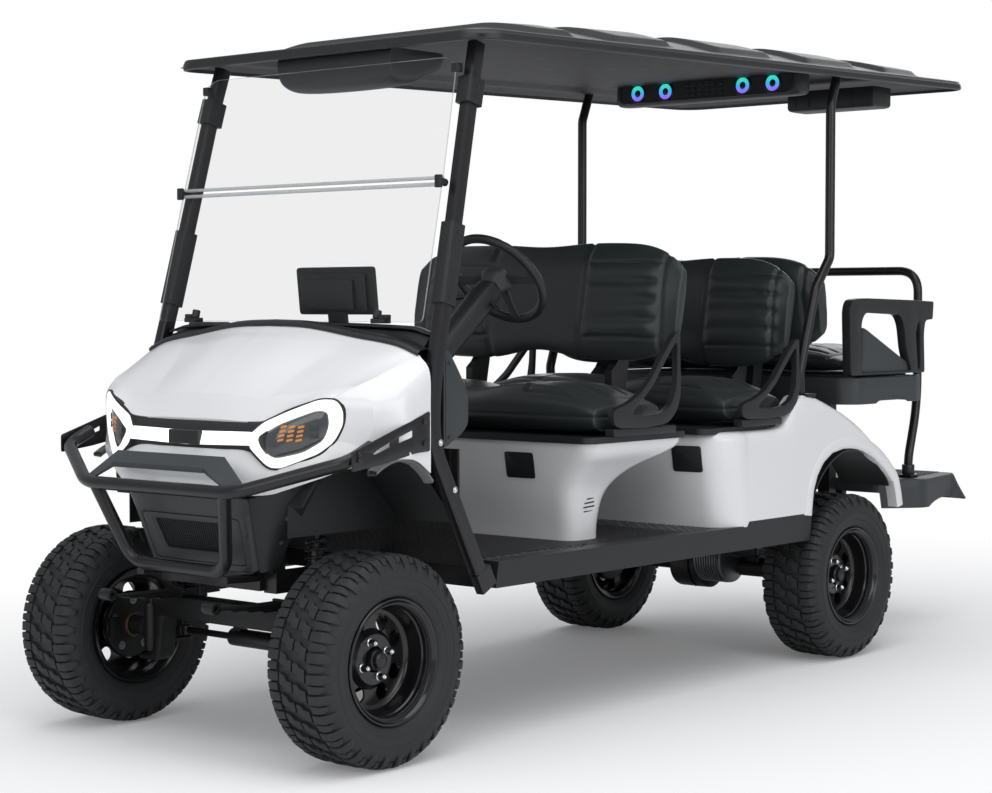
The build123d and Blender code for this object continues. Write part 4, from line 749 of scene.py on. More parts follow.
def seat_cushion(name, node, body="chassis", facing=-1):
    """Bench cushion: a hump for each rider, a dip between, and a waterfall front edge."""
    low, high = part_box(node)
    depth, mid_y = high.y - low.y, (low.y + high.y) / 2
    half_z = (high.z - low.z) / 2
    sections = []
    for u in bunched(SEAT_SECTIONS, BUNCHING):
        x = u * high.x
        end = end_share(u, 8, 0.35)
        drop = 0.030 * hump_at(x, 0.17) + 0.045 * abs(u) ** 8
        tall = (half_z - 0.006 - drop / 2) * (0.8 + 0.2 * end)
        sections.append((x, mid_y, low.z + 0.004 + tall, (depth / 2 - 0.012) * (0.9 + 0.1 * end), tall))
    obj, normals = padded_form(name, sections, 3.6, 0.0)
    front_y = low.y if facing < 0 else high.y
    for vertex, normal in zip(obj.data.vertices, normals):
        side = abs(vertex.co.x)
        back = abs(vertex.co.y - front_y) / depth
        # the rider's panel: a seam in a wide U on the top, open to the back
        narrowing = 1 - smoothstep(0.10, 0.42, back)
        bound, outer = 0.197 + 0.06 * narrowing, high.x * 0.90 - 0.05 * narrowing
        top = smoothstep(0.15, 0.5, normal.z)
        seam = (ditch(side - bound) + ditch(side - outer)) * smoothstep(0.13, 0.17, back)
        bar = ditch((back - 0.15) * depth, 0.006) * between(side, bound - 0.004, bound + 0.004, outer - 0.004,
                                                            outer + 0.004)
        phase = (back * depth - 0.13) / 0.060
        wave = abs(math.sin(math.pi * phase))
        channel = (ditch(wave, 0.22) * 0.0060 - 0.002 * wave) * between(phase, 0.0, 0.4, 5.0, 5.4)
        channel *= between(side, bound + 0.012, bound + 0.03, outer - 0.03, outer - 0.012)
        rim = ditch(vertex.co.z - (low.z + 0.058), 0.0045) * 0.004 * (1 - top)
        vertex.co -= normal * ((max(seam, bar) * 0.0065 + channel) * top + rim)
    finish_seat(obj, node, body)


seat_back("front_backrest", "front_seat_back")
seat_back("middle_backrest", "middle_seat_back")
seat_back("rear_backrest", "rear_seat_back", facing=1)
seat_cushion("front_bench", "front_seat_cushion")
seat_cushion("middle_bench", "middle_seat_cushion")
seat_cushion("rear_bench", "rear_seat_cushion", body="rear_seat", facing=1)


# ---------------------------------------------------------------- front cowl
# rows of (x, distance, height) from the middle out, from the front edge back (hood) or down (chin)
HOOD = [
    [(0, -152, 934), (110, -152, 934), (208, -148, 931), (290, -143, 940), (400, -112, 985), (468, -72, 1001),
     (493, -56, 976), (493, -57, 928), (472, -70, 882)],
    [(0, -122, 1004), (120, -118, 1002), (240, -108, 993), (322, -88, 1003), (418, -58, 1020), (502, -20, 1032),
     (550, -14, 988), (556, -12, 930), (545, -18, 865)],
    [(0, -20, 1092), (130, -15, 1089), (275, 5, 1070), (358, 16, 1073), (442, 32, 1072), (524, 52, 1060),
     (584, 55, 1012), (598, 58, 950), (600, 62, 850)],
    [(0, 70, 1153), (145, 75, 1149), (312, 82, 1122), (388, 90, 1117), (466, 98, 1106), (542, 110, 1085),
     (592, 115, 1038), (600, 118, 955), (600, 120, 834)],
    [(0, 140, 1193), (158, 144, 1187), (345, 152, 1160), (412, 158, 1151), (490, 164, 1137), (560, 169, 1112),
     (596, 170, 1068), (600, 170, 965), (600, 170, 798)],
]
CHIN = [
    [(0, -178, 850), (120, -178, 850), (222, -172, 849), (300, -168, 823), (345, -156, 808), (434, -94, 851),
     (472, -70, 882), (545, -18, 865), (600, 62, 850), (600, 120, 834), (600, 170, 798)],
    [(0, -203, 784), (120, -202, 785), (222, -195, 787), (300, -172, 781), (345, -152, 779), (434, -98, 815),
     (472, -75, 838), (545, -22, 845), (600, 60, 842), (600, 119, 829), (600, 170, 794)],
    [(0, -192, 726), (120, -191, 727), (222, -180, 729), (300, -153, 735), (345, -134, 749), (434, -93, 782),
     (472, -72, 798), (545, -24, 824), (600, 60, 834), (600, 118, 824), (600, 170, 790)],
]
PLAN_FRONT = [(0, -200), (240, -193), (330, -166), (450, -86), (555, -20), (600, 62)]
NOSE = [(725, -191), (780, -203), (849, -182), (865, -183), (908, -167), (931, -154), (1000, -115), (1092, -20)]
NOSE_BLEND = 26.0


def placed(row):
    return [at(*p) for p in row]


def folded(edge, *offsets):
    """The edge and copies of it moved by each offset, as rows."""
    return [edge] + [[p + Vector(offset) for p in edge] for offset in offsets]


cowl = Form()
for part in (HOOD[:2], HOOD[1:]):
    for crease in (slice(None, 3), slice(2, 6), slice(5, None)):
        cowl.grid(surface([placed(row[crease]) for row in part], 10, 10))
cowl.grid(surface([placed(row) for row in CHIN], 8, 8))
# both lips fold in under the front edges
cowl.grid(folded(spline(placed(HOOD[0][:3]), 10), (0, 0.006, -0.007), (0, 0.030, -0.010)))
cowl.grid(folded(spline(placed(CHIN[0][:4]), 8), (0, 0.008, 0.003), (0, 0.030, 0.0)))
cowl.mirror().weld(0.0006)
cowl.outward()
cowl.piece("front_shell", WHITE, "body_white", "front_cowl", shell=0.004, angle=22)

# dark trim along the hood's rear edge
seal = Form()
edge = spline(placed(HOOD[4][:6]), 10)
rail = [mirrored(p) for p in reversed(edge[1:])] + edge
seal.grid([[p + Vector((0, d, z)) * MM for p in rail]
           for d, z in ((-8, 1), (-6, 7), (2, 13), (26, 17), (56, 13), (60, 2), (58, -14), (6, -12))], close_v=True)
seal.piece("hood_seal", BLACK_PLASTIC, "trim_black", angle=50)


# ---------------------------------------------------------------- lamps, outlines as (x, height)
LAMP_OUTER = [(238, 893), (278, 932), (436, 996), (474, 996), (490, 968), (490, 929), (470, 884), (434, 850),
              (344, 808), (314, 811), (252, 858)]
LAMP_INNER = [(268, 890), (322, 921), (428, 966), (454, 963), (457, 924), (443, 884), (396, 851), (333, 834),
              (300, 846)]
LAMP_POINTS = 96
LENS_MIDDLE = (372.0, 899.0)


def face_point(x, z, depth):
    """Point on the lamps' front, depth millimetres behind it."""
    a, b = height_on(PLAN_FRONT, abs(x)), height_on(NOSE, z)
    d = max(a, b) + max(NOSE_BLEND - abs(a - b), 0) ** 2 / (4 * NOSE_BLEND)
    slope = 0.0
    if a > b - NOSE_BLEND:
        slope = (height_on(PLAN_FRONT, abs(x + 15)) - height_on(PLAN_FRONT, abs(x - 15))) / 30
    return at(x, d, z) + Vector((-slope, 1, 0)).normalized() * depth * MM


def lamp_loop(corners, radius, start):
    """Evenly spaced outline that begins at the point nearest to start."""
    made = spaced(rounded_pairs(corners, radius, 6), LAMP_POINTS)
    near = min(range(LAMP_POINTS), key=lambda i: (made[i][0] - start[0]) ** 2 + (made[i][1] - start[1]) ** 2)
    return made[near:] + made[:near]


def mixed(a, b, t):
    return [(x0 + (x1 - x0) * t, z0 + (z1 - z0) * t) for (x0, z0), (x1, z1) in zip(a, b)]


outer_loop, inner_loop = lamp_loop(LAMP_OUTER, 14, (490, 930)), lamp_loop(LAMP_INNER, 16, (457, 924))
for side, tag in ((1, "left"), (-1, "right")):
    def shown(points, depth, grow=0.0):
        """Outline on the lamps' front, grown outwards by that many millimetres."""
        cx, cz = [sum(values) / len(points) for values in zip(*points)]
        made = []
        for x, z in points:
            reach = math.hypot(x - cx, z - cz)
            p = face_point(x + (x - cx) / reach * grow, z + (z - cz) / reach * grow, depth)
            made.append(p if side > 0 else mirrored(p))
        return made

    gasket, halo, lens, marks, beam = [Form() for _ in range(5)]
    gasket.grid([shown(outer_loop, *row) for row in ((16, 7), (1, 6), (0, 2), (3, 0), (14, 0))], close_u=True)
    gasket.piece("lamp_gasket_" + tag, BLACK_PLASTIC, "trim_black")
    halo.grid([shown(outer_loop, *row) for row in ((10,), (1, -1), (-2, -5))]
              + [shown(mixed(outer_loop, inner_loop, t), depth) for t, depth in ((0.25, -4), (0.5, -4.5), (0.75, -4))]
              + [shown(inner_loop, *row) for row in ((-1, 4), (2, 1), (14, 0))], close_u=True)
    halo.piece("lamp_halo_" + tag, GLOW, "lamp_lens")
    rings = []
    for share, depth in ((1.0, 11), (0.97, 7), (0.9, 5), (0.7, 3), (0.45, 2), (0.2, 1.5)):
        rings.append(shown(mixed([LENS_MIDDLE] * LAMP_POINTS, inner_loop, share), depth))
    lens.face(lens.grid(rings, close_u=True)[-1])
    lens.piece("lamp_lens_" + tag, LENS, "lamp_lens")
    for x0, z0 in ((338 + k * 21 + row * 2, 880 + row * 12) for k in range(3) for row in range(4)):
        corners = [(x0, z0), (x0 + 15, z0 + 4), (x0 + 15, z0 + 11), (x0, z0 + 7)]
        marks.loft([shown(corners, depth) for depth in (1.2, 7)])
    marks.piece("lamp_amber_" + tag, AMBER, "lamp_lens", bevel=0.001)
    for z0, z1 in ((890, 908), (913, 931)):
        corners = [(413, z0), (434, z0 + 3), (434, z1 + 3), (413, z1)]
        beam.loft([shown(corners, depth) for depth in (1.0, 8)])
    beam.piece("lamp_beam_" + tag, CHARCOAL, "lamp_lens", bevel=0.0015)

# the dark recess behind the light band, the band and the bare badge on it
recess, band, badge = Form(), Form(), Form()
recess.grid([[at(x, d, z) for x in (-300, -222, -120, 0, 120, 222, 300)] for d, z in
             ((-130, 935), (-146, 925), (-160, 905), (-166, 866), (-160, 846), (-140, 838))])
recess.piece("nose_recess", BLACK_PLASTIC, "trim_black", shell=0.003, angle=50)
BAND = ((-252, -183), (-222, -184), (-120, -189), (0, -191), (120, -189), (222, -184), (252, -183))
BAND_LOW, BAND_TOP, BAND_LEAN = (863, 5 / 222), (900, 4 / 222), 12
line = spline([Vector((x, d, 0)) for x, d in BAND], 6)
rows = []
for offset, share in ((14, 0.0), (2, 0.0), (0, 0.12), (0, 0.88), (4, 1.0), (16, 1.0)):
    ends = [[start + slope * abs(p.x) for start, slope in (BAND_LOW, BAND_TOP)] for p in line]
    rows.append([at(p.x, p.y + offset + BAND_LEAN * share, low + (top - low) * share)
                 for p, (low, top) in zip(line, ends)])
band.grid(rows)
band.piece("light_band", GLOW, "lamp_lens", "headlamps", shell=0.003, angle=40)
badge.box(at(-62, -197, 864), at(62, -178, 903))
badge.piece("bare_badge", BLACK_PLASTIC, "trim_black", bevel=0.004, segments=3)


# ---------------------------------------------------------------- seat pods and rear body
# levels of the front pod: height, half width, front, back, corner radius
POD = [
    (520, 446, 986, 1152, 62), (560, 446, 983, 1154, 62), (610, 449, 975, 1162, 64), (655, 455, 966, 1176, 68),
    (690, 466, 960, 1202, 74), (722, 484, 954, 1240, 80), (752, 508, 949, 1298, 84), (776, 532, 945, 1372, 82),
    (796, 546, 941, 1428, 78), (812, 552, 938, 1448, 74), (828, 554, 937, 1450, 72),
]
POD_BOW, SKIRT_LOW, RIM_HIGH, SKIRT_LEAN = 8, 520, 828, 46
# rear body: the arch over the wheel and the line along its top, as (distance, height)
ARCH = [(2140, 540), (2150, 610), (2178, 668), (2220, 710), (2275, 738), (2345, 750), (2425, 748), (2500, 732),
        (2570, 704), (2630, 668), (2680, 628), (2706, 605)]
TOP = [(1560, 830), (1900, 830), (1975, 838), (2003, 868), (2030, 912), (2064, 938), (2120, 938), (2190, 926),
       (2261, 904), (2350, 872), (2430, 838), (2510, 796), (2580, 746), (2640, 690), (2690, 622), (2726, 560),
       (2750, 508)]
TAIL_STOPS = [2138, 2140, 2144, 2150, 2160, 2175, 2195, 2218, 2245, 2275, 2310, 2350, 2395, 2440, 2485, 2530, 2570,
              2605, 2635, 2662, 2684, 2700]
LIP = [(-2, -34), (3, -3), (5, -1), (8, 6), (9, 16), (8, 28), (5, 36), (-1, 44), (-4, 40), (-4, -30)]
LOUVRES = ((1060, 34), (1050, 50), (1046, 57), (1050, 46), (1060, 30))


pod = Form()
rings = []
for z, half, front, back, corner in POD:
    points = [Vector((x, d, 0)) for x, d in ((-half, back), (-half, front + POD_BOW), (0, front),
                                             (half, front + POD_BOW), (half, back))]
    radii = [min(corner, 60), corner, 400, corner, min(corner, 60)]
    rings.append([at(p.x, p.y, z) for p in rounded(points, radii, 8)])
pod.grid(surface(rings, 1, 3), close_u=True)
pod.piece("front_pod_shell", WHITE, "body_white", "front_pod", shell=0.004, angle=40)


def subdivided(path, spacing):
    """The path with further points, at most that far apart, and without its last point."""
    made = []
    for a, b in zip(path, path[1:]):
        count = max(1, int((b - a).length / spacing))
        made += [a.lerp(b, k / count) for k in range(count)]
    return made


def body_column(x, d, nx, nd, low, top):
    """One upright line of the skin at a plan point with its outward normal."""
    depth, round_over = top - low, min(26.0, (top - low) * 0.45)
    shape = [(14.0, low), (1.5, low)]
    for t in (k / 8 for k in range(1, 8)):
        shape.append((-1.2 * math.sin(math.pi * t), low + (depth - round_over) * t))
    for t in (math.pi / 2 * k / 5 for k in range(6)):
        shape.append((round_over * (1 - math.cos(t)), top - round_over + round_over * math.sin(t)))
    shape.append((60.0, top))
    column = []
    for inset, z in shape:
        out = SKIRT_LEAN * max(-nd, 0) * smoothstep(SKIRT_LOW, RIM_HIGH, z) - inset
        column.append(at(x + nx * out, d + nd * out, z))
    return column


# middle pod, side panels and rear fenders: one skin from corner to tail
plan = rounded([Vector((x, d, 0)) for x, d in ((0, 1600), (430, 1604), (548, 1622), (598, 1694), (600, 1800),
                                               (600, 2136))], [0, 300, 90, 90, 60, 0], 8, closed=False)
plan = [p for i, p in enumerate(plan) if i == 0 or (p - plan[i - 1]).length > 2]
plan = subdivided(plan, 24) + [Vector((600, d, 0)) for d in TAIL_STOPS]
body = Form()
columns = []
for i, p in enumerate(plan):
    run = direction(plan, i)
    low = 521 if p.y < 1745 else (538 if p.y < 2139 else height_on(ARCH, p.y))
    top = max(height_on(TOP, p.y) if p.x > 560 else 830, low + 14)
    columns.append(body_column(p.x, p.y, run.y, -run.x, low, top))
body.grid(columns)
body.mirror().weld(0.001)
body.piece("rear_shell", WHITE, "body_white", "rear_body", shell=0.004, angle=40)

# raised lip round the rear arch, ending in the tail
lips = Form()
path = spline([Vector((0, d, z)) for d, z in [(2138, 524)] + ARCH[1:] + [(2724, 560), (2736, 512)]], 4)
rows = []
for i, p in enumerate(path):
    run = direction(path, i)
    row = []
    for out, rise in LIP:
        q, inward = (p, rise) if rise < -5 else (p + Vector((0, -run.z, run.y)) * rise, 0)
        row.append(at(600 + out + inward, q.y, q.z))
    rows.append(row)
lips.grid(rows, close_u=True)
lips.mirror()
lips.piece("fender_lips", WHITE, "body_white", angle=40)


# black square doors in the faces of both pods
def pod_face(x, z):
    half, front = [height_on([(level[0], level[column]) for level in POD], z) for column in (1, 2)]
    return front + POD_BOW * abs(x) / half


def middle_face(x, z):
    base = 1600 + 4 * min(x, 430) / 430 + max(x - 430, 0) * 0.1525
    return base - SKIRT_LEAN * smoothstep(SKIRT_LOW, RIM_HIGH, z) - 5.0


doors = Form()
for ring, face in ((upright(215, 329, 711, 793, 10), pod_face), (upright(423, 529, 703, 790, 10), middle_face)):
    doors.loft([[at(p.x, face(p.x, p.z) - out, p.z) for p in ring] for out in (-10, 2.6)])
doors.piece("pod_doors", BLACK_PLASTIC, "trim_black", bevel=0.0015)


# ---------------------------------------------------------------- roof
ROOF_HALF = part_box("roof")[1].x / MM
ROOF_FRONT, ROOF_BACK, ROOF_CORNER = 333.0, 3181.0, 100
ROOF_CROWN = [(333, 34), (420, 52), (620, 72), (1000, 88), (1400, 96), (2450, 94), (2960, 80), (3100, 58),
              (3181, 34)]
# ribs: first and last distance across the roof's top
RIBS = [(640, 830), (1010, 1330), (1560, 1905), (2110, 2445), (2640, 2890)]
RIB_RISE = 17


def lip_height(d):
    return 1989 + 77 * (d - ROOF_FRONT) / (ROOF_BACK - ROOF_FRONT)


def rib_share(d):
    return max(between(d, first - 6, first + 26, last - 16, last + 6) for first, last in RIBS)


def roof_half(d):
    """Half width with rounded corners at both ends."""
    short = max(ROOF_CORNER - min(d - ROOF_FRONT, ROOF_BACK - d), 0)
    return ROOF_HALF - ROOF_CORNER + math.sqrt(max(ROOF_CORNER ** 2 - short ** 2, 0))


bends = [ROOF_CORNER * (1 - math.cos(math.pi / 2 * k / 10)) for k in range(11)]
stops = sorted(set([ROOF_FRONT + bend for bend in bends] + [ROOF_BACK - bend for bend in bends]
                   + [d + k * 8 for first, last in RIBS for d in (first - 8, last - 20) for k in range(5)]
                   + list(range(480, 3080, 60))))
roof, lining = Form(), Form()
rows = []
for d in stops:
    half, low, from_end = roof_half(d), lip_height(d), min(d - ROOF_FRONT, ROOF_BACK - d)
    row = []
    for u in bunched(80, 1.5):
        x = half * u
        edge = (ROOF_HALF if half > ROOF_HALF - 1 else half) - abs(x)
        near = min(edge, from_end + 6)
        z = 30 + (height_on(ROOF_CROWN, d) - 30) * smoothstep(-10, 300, near) ** 0.8
        z += RIB_RISE * rib_share(d) * smoothstep(60, 86, ROOF_HALF - abs(x)) * smoothstep(30, 60, from_end)
        row.append(at(x, d, low + 18 + (z - 18) * smoothstep(0, 10, near)))
    rows.append(row)
rim = rows[0] + [row[-1] for row in rows[1:]] + rows[-1][-2::-1] + [row[0] for row in reversed(rows[1:-1])]


def drawn_in(amount, rise):
    """The rim moved inwards, that far above the lip."""
    made = []
    for p in rim:
        d = min(max((p.y - AXLE_Y) / MM, ROOF_FRONT + amount), ROOF_BACK - amount)
        made.append(at(math.copysign(max(abs(p.x) / MM - amount, 0), p.x), d, lip_height(d) + rise))
    return made


roof.grid(rows)
roof.grid([rim] + [drawn_in(*step) for step in ((0, 4), (3, 0.5), (16, 0), (20, 12), (46, 22))], close_u=True)
roof.weld(0.0004)
roof.piece("roof_shell", ROOF_BLACK, "trim_black", "roof", angle=30)

# the lining under the roof, with its stepped panel; its black is darkened further as painted shade under the roof
LINING_INSET = 24
rows = []
for d in [ROOF_FRONT + LINING_INSET + k * (ROOF_BACK - ROOF_FRONT - 2 * LINING_INSET) / 60 for k in range(61)]:
    row = []
    for x in ((ROOF_HALF - LINING_INSET) * k / 24 for k in range(-24, 25)):
        near = min(ROOF_HALF - abs(x), d - ROOF_FRONT, ROOF_BACK - d)
        row.append(at(x, d, lip_height(d) + 12 + 12 * smoothstep(40, 90, near) + 14 * smoothstep(150, 190, near)))
    rows.append(row)
lining.grid(rows)
lining.piece("roof_lining_painted_shade", LINING_WITH_PAINTED_SHADE, "trim_black", shell=0.003, angle=40)


# ---------------------------------------------------------------- front guards
guard = Form()
wing = [(582, -50, 872), (582, -134, 836), (304, -294, 748)]
bar = placed(wing) + [mirrored(p) for p in reversed(placed(wing))]
guard.tube(rounded(bar, 0.055, 9, closed=False), 0.0188, sides=22)
hoop = placed([(269, -290, 748), (193, -214, 519), (-193, -214, 519), (-269, -290, 748)])
guard.tube(rounded(hoop, 0.06, 9, closed=False), 0.0186, sides=22)
for side in SIDES:
    sweep(guard, placed([(side * 173, -206, 496), (side * 173, -150, 494), (side * 173, -88, 492)]), 0.030, 0.020,
          0.004)
guard.piece("front_guard", SATIN_BLACK, "frame_black", "front_bumper", angle=40)

# bent strap over the tube: feet, shoulders, and a fold down along its front edge
STRAP = [((-267, -297, 764), (-324, -268, 768)), ((-186, -290, 810), (-222, -244, 840)),
         ((186, -290, 810), (222, -244, 840)), ((267, -297, 764), (324, -268, 768))]
strap = Form()
rows = []
for t in (0.0, 0.04, 0.5, 0.96, 1.0):
    rows.append([at(*(a + (b - a) * t for a, b in zip(front, rear))) for front, rear in STRAP])
strap.grid(rows)
strap.grid([rows[0][1:3], [at(x, d - 1, z - 13) + Vector((0, 0.001, 0)) for (x, d, z), _ in STRAP[1:3]]])
strap.weld(0.0003)
strap.piece("guard_strap", CHARCOAL, "trim_charcoal", shell=0.005, bevel=0.001, angle=30)

# side plates, outlines as (distance, height)
PLATE = rounded_pairs([(-143, 863), (107, 942), (163, 961), (163, 851), (107, 848), (-25, 825), (-143, 811)], 7)
PLATE_SLOTS = [rounded_pairs([(-64, 857), (4, 884), (4, 870), (-57, 852)], 2.5),
               rounded_pairs([(38, 895), (91, 911), (91, 893), (38, 878)], 3)]
plates, plate_bolts = Form(), Form()
for side in SIDES:
    sheet(plates, PLATE, PLATE_SLOTS, lambda d, z: at(side * 603.9, d, z))
    for d, z in ((-118, 842), (-118, 858), (140, 934), (140, 874)):
        bolt(plate_bolts, at(side * 606, d, z), RIGHT * side, 5.5, 4)
plates.piece("guard_side_plates", SATIN_BLACK, "frame_black", "bumper_plates", shell=0.004, bevel=0.0007, angle=30)
plate_bolts.piece("guard_plate_bolts", SATIN_BLACK, "frame_black")

# ---------------------------------------------------------------- cage
STRUT = [(584, 412, 448), (584, 190, 868), (580, 196, 1010), (566, 262, 1262), (538, 408, 1856), (528, 447, 1994)]
# moulded sleeves, tall above the cowl and short below the roof: foot, head, width, depth
SLEEVES = ((1251, 1478, 0.047, 0.061), (1816, 1890, 0.053, 0.067))
cage, sleeves, sleeve_bolts, cage_bolts = Form(), Form(), Form(), Form()


def on_strut(side, z):
    """Point on the strut's centre line above its knee."""
    x, d = [height_on([(p[2], p[axis]) for p in STRUT[1:]], z) for axis in (0, 1)]
    return at(side * x, d, z)


for side in SIDES:
    path = rounded([at(side * x, d, z) for x, d, z in STRUT], [0, 0.10, 0.09, 0.2, 0.2, 0], 9, closed=False)
    sweep(cage, path, 0.037, 0.049, 0.014)
    # foot plate on the rocker
    sweep(cage, placed([(side * 588, 420, 447), (side * 588, 392, 500)]), 0.030, 0.066, 0.005)
    for foot, head, wide, deep in SLEEVES:
        sweep(sleeves, [on_strut(side, z) for z in (foot, foot + 5, head - 5, head)], wide, deep, 0.010)
        for z in (foot + 24, head - 24):
            bolt(sleeve_bolts, on_strut(side, z) + RIGHT * (side * wide / 2), RIGHT * side, 4.0, 3)
    for d, z in ((208, 872), (268, 738)):
        bolt(cage_bolts, at(side * 602.5, d, z), RIGHT * side, 6.5, 5)
cage.piece("front_cage", SATIN_BLACK, "frame_black", "front_struts", angle=32)
sleeves.piece("cage_sleeves", BLACK_PLASTIC, "trim_black", bevel=0.001, angle=32)
sleeve_bolts.piece("sleeve_bolts", SATIN_BLACK, "frame_black")
cage_bolts.piece("cage_bolts", CHROME, "frame_black")

# ---------------------------------------------------------------- windscreen, ends as (distance, height)
FOOT, FOLD_LOW, FOLD_HIGH, HEAD = (192, 1204), (286, 1594), (289, 1602), (372, 1952)
PANE_THICK = 0.005


def pane(name, low, high, low_half, high_half, radii, node):
    """Clear pane with bright cut edges."""
    tall = math.hypot(high[0] - low[0], high[1] - low[1])
    loop = rounded([Vector(p) for p in ((-low_half, 0, 0), (low_half, 0, 0), (high_half, tall, 0),
                                        (-high_half, tall, 0))], radii, 7)
    slope = Vector((0, high[0] - low[0], high[1] - low[1])).normalized()
    through = Vector((0, slope.z, -slope.y)) * PANE_THICK
    form = Form()
    front, back = [form.verts([at(p.x, low[0] + slope.y * p.y, low[1] + slope.z * p.y) + through * depth
                               for p in loop]) for depth in (0, 1)]
    form.face(front)
    form.face(list(reversed(back)))
    for i, j in zip(range(len(loop)), list(range(1, len(loop))) + [0]):
        form.face([front[i], front[j], back[j], back[i]], 1)
    form.piece(name, [ACRYLIC, ACRYLIC_EDGE], "screen_clear", node, angle=30)


pane("screen_low", FOOT, FOLD_LOW, 548, 538, [16, 16, 5, 5], "windscreen_lower")
pane("screen_high", FOLD_HIGH, HEAD, 538, 520, [5, 5, 62, 62], "windscreen_upper")
fold, clips = Form(), Form()
for d, z in ((284, 1587), (290, 1606)):
    fold.tube([at(x, d, z) for x in (-541, 541)], 0.0052, sides=12)
fold.piece("screen_fold_bars", ACRYLIC_EDGE, "screen_clear")
# clips at the foot, knobs at the fold and rubber rests at the head: two corners, or two ends and a radius
CLIPS = [((366, 176, 1199), (414, 212, 1213)), ((378, 190, 1212), (378, 196, 1236), 0.012),
         ((390, 184, 1211), (420, 206, 1224)), ((536, 276, 1597), (536, 306, 1592), 0.011),
         ((526, 268, 1578), (548, 280, 1614)), ((506, 362, 1906), (530, 386, 1932))]


def fittings(form, rows, side, sides=14):
    """Boxes between two corners, or round bars where a row ends with a radius, on one side of the cart."""
    for low, high, *radius in rows:
        ends = [at(side * x, d, z) for x, d, z in (low, high)]
        if radius:
            form.tube(ends, radius[0], sides=sides)
        else:
            form.box(*ends)


for side in SIDES:
    fittings(clips, CLIPS, side)
clips.piece("screen_clips", BLACK_PLASTIC, "trim_black", bevel=0.0025)

# ---------------------------------------------------------------- lower front panel
PANEL_LOW, PANEL_TALL, PANEL_HALF, PANEL_FLARE = 512, 210, 217, 26
PANEL_RAYS, PANEL_MIDDLE = 96, 0.45
WINDOW_LOW, WINDOW_TALL, WINDOW_HALF, WINDOW_FLARE = 562, 85, 125, 24
GRILLE_BARS, GRILLE_ROWS = 33, 13


def fascia_point(u, v, depth=0.0):
    """u runs across (-1 to 1), v up (0 to 1), depth millimetres behind the bowed face."""
    d = -124 - 69 * v - 11 * (1 - u * u)
    if abs(u) > 0.93:
        d += 9 * ((abs(u) - 0.93) / 0.07) ** 2
    return at((PANEL_HALF + PANEL_FLARE * v) * u, d + depth, PANEL_LOW + PANEL_TALL * v)


def fascia_uv(x, z):
    v = (z - PANEL_LOW) / PANEL_TALL
    return x / (PANEL_HALF + PANEL_FLARE * v), v


def turned(loop):
    """Loop crossed by evenly turned rays from its middle, so that rings line up."""
    made = []
    for angle in circle(PANEL_RAYS):
        ray = Vector((math.cos(angle) * 1.4, math.sin(angle), 0))
        best = None
        for (ax, ay), (bx, by) in zip(loop, loop[1:] + loop[:1]):
            rise, from_middle = by - ay, ay - PANEL_MIDDLE
            den = ray.x * rise - ray.y * (bx - ax)
            if abs(den) < 1e-9:
                continue
            t = (ax * rise - from_middle * (bx - ax)) / den
            s = (ax * ray.y - from_middle * ray.x) / den
            if t > 0 and -1e-6 <= s <= 1 + 1e-6 and (best is None or t < best):
                best = t
        made.append((ray.x * best, ray.y * best + PANEL_MIDDLE))
    return made


edge = turned(rounded_pairs([(-1, 0), (1, 0), (1, 1), (-1, 1)], 0.05))
groove = turned([fascia_uv(x, z) for x, z in rounded_pairs([(-190, 529), (190, 529), (203, 664), (-203, 664)], 10)])
window = turned([fascia_uv(x, z) for x, z in rounded_pairs([(-125, 562), (125, 562), (149, 647), (-149, 647)], 9)])
# rings from the edge over the groove into the window: outline, next outline, share between, depth
steps = [(edge, groove, t, 0) for t in (0, 0.3, 0.6, 0.93)] + [(edge, groove, 0.96, 0.6), (edge, groove, 1, 4.0)]
steps += [(groove, window, t, depth) for t, depth in ((0.05, 0.6), (0.08, 0), (0.4, 0), (0.7, 0), (0.93, 0.5),
                                                      (1.0, 3), (1.0, 15))]
steps.append((window, [(0, PANEL_MIDDLE)] * PANEL_RAYS, 0.06, 16))
panel, grille, cheeks, cheek_bolts, arch_lip = [Form() for _ in range(5)]
panel.grid([[fascia_point(u, v, depth) for u, v in mixed(a, b, t)] for a, b, t, depth in steps], close_u=True)
panel.grid([[fascia_point(u * wider, v, depth) for u, v in edge] for wider, depth in ((1, 0), (1.006, 4), (1, 22))],
           close_u=True)
panel.weld()
panel.piece("lower_panel", CHARCOAL, "trim_charcoal", "lower_fascia", angle=38)


def window_line(across, up):
    """Point of the window's grid: across from -1 to 1, up from 0 to 1."""
    return fascia_uv((WINDOW_HALF + WINDOW_FLARE * up) * across, WINDOW_LOW + WINDOW_TALL * up)


for k in range(GRILLE_BARS):
    across = -1 + 2 * (k + 0.5) / GRILLE_BARS
    sweep(grille, [fascia_point(*window_line(across, j / 6), 11) for j in range(7)], 0.0026, 0.003, 0.0006, cap=False)
for j in range(GRILLE_ROWS):
    line = [fascia_point(*window_line(-1 + 2 * i / 10, (j + 0.5) / GRILLE_ROWS), 12) for i in range(11)]
    sweep(grille, line, 0.0026, 0.003, 0.0006, across=UP, cap=False)
grille.grid([[fascia_point(*fascia_uv(x, z), 24) for x in (-155, -80, 0, 80, 155)] for z in (552, 600, 658)])
grille.piece("lower_grille", BLACK_PLASTIC, "trim_black", angle=40)

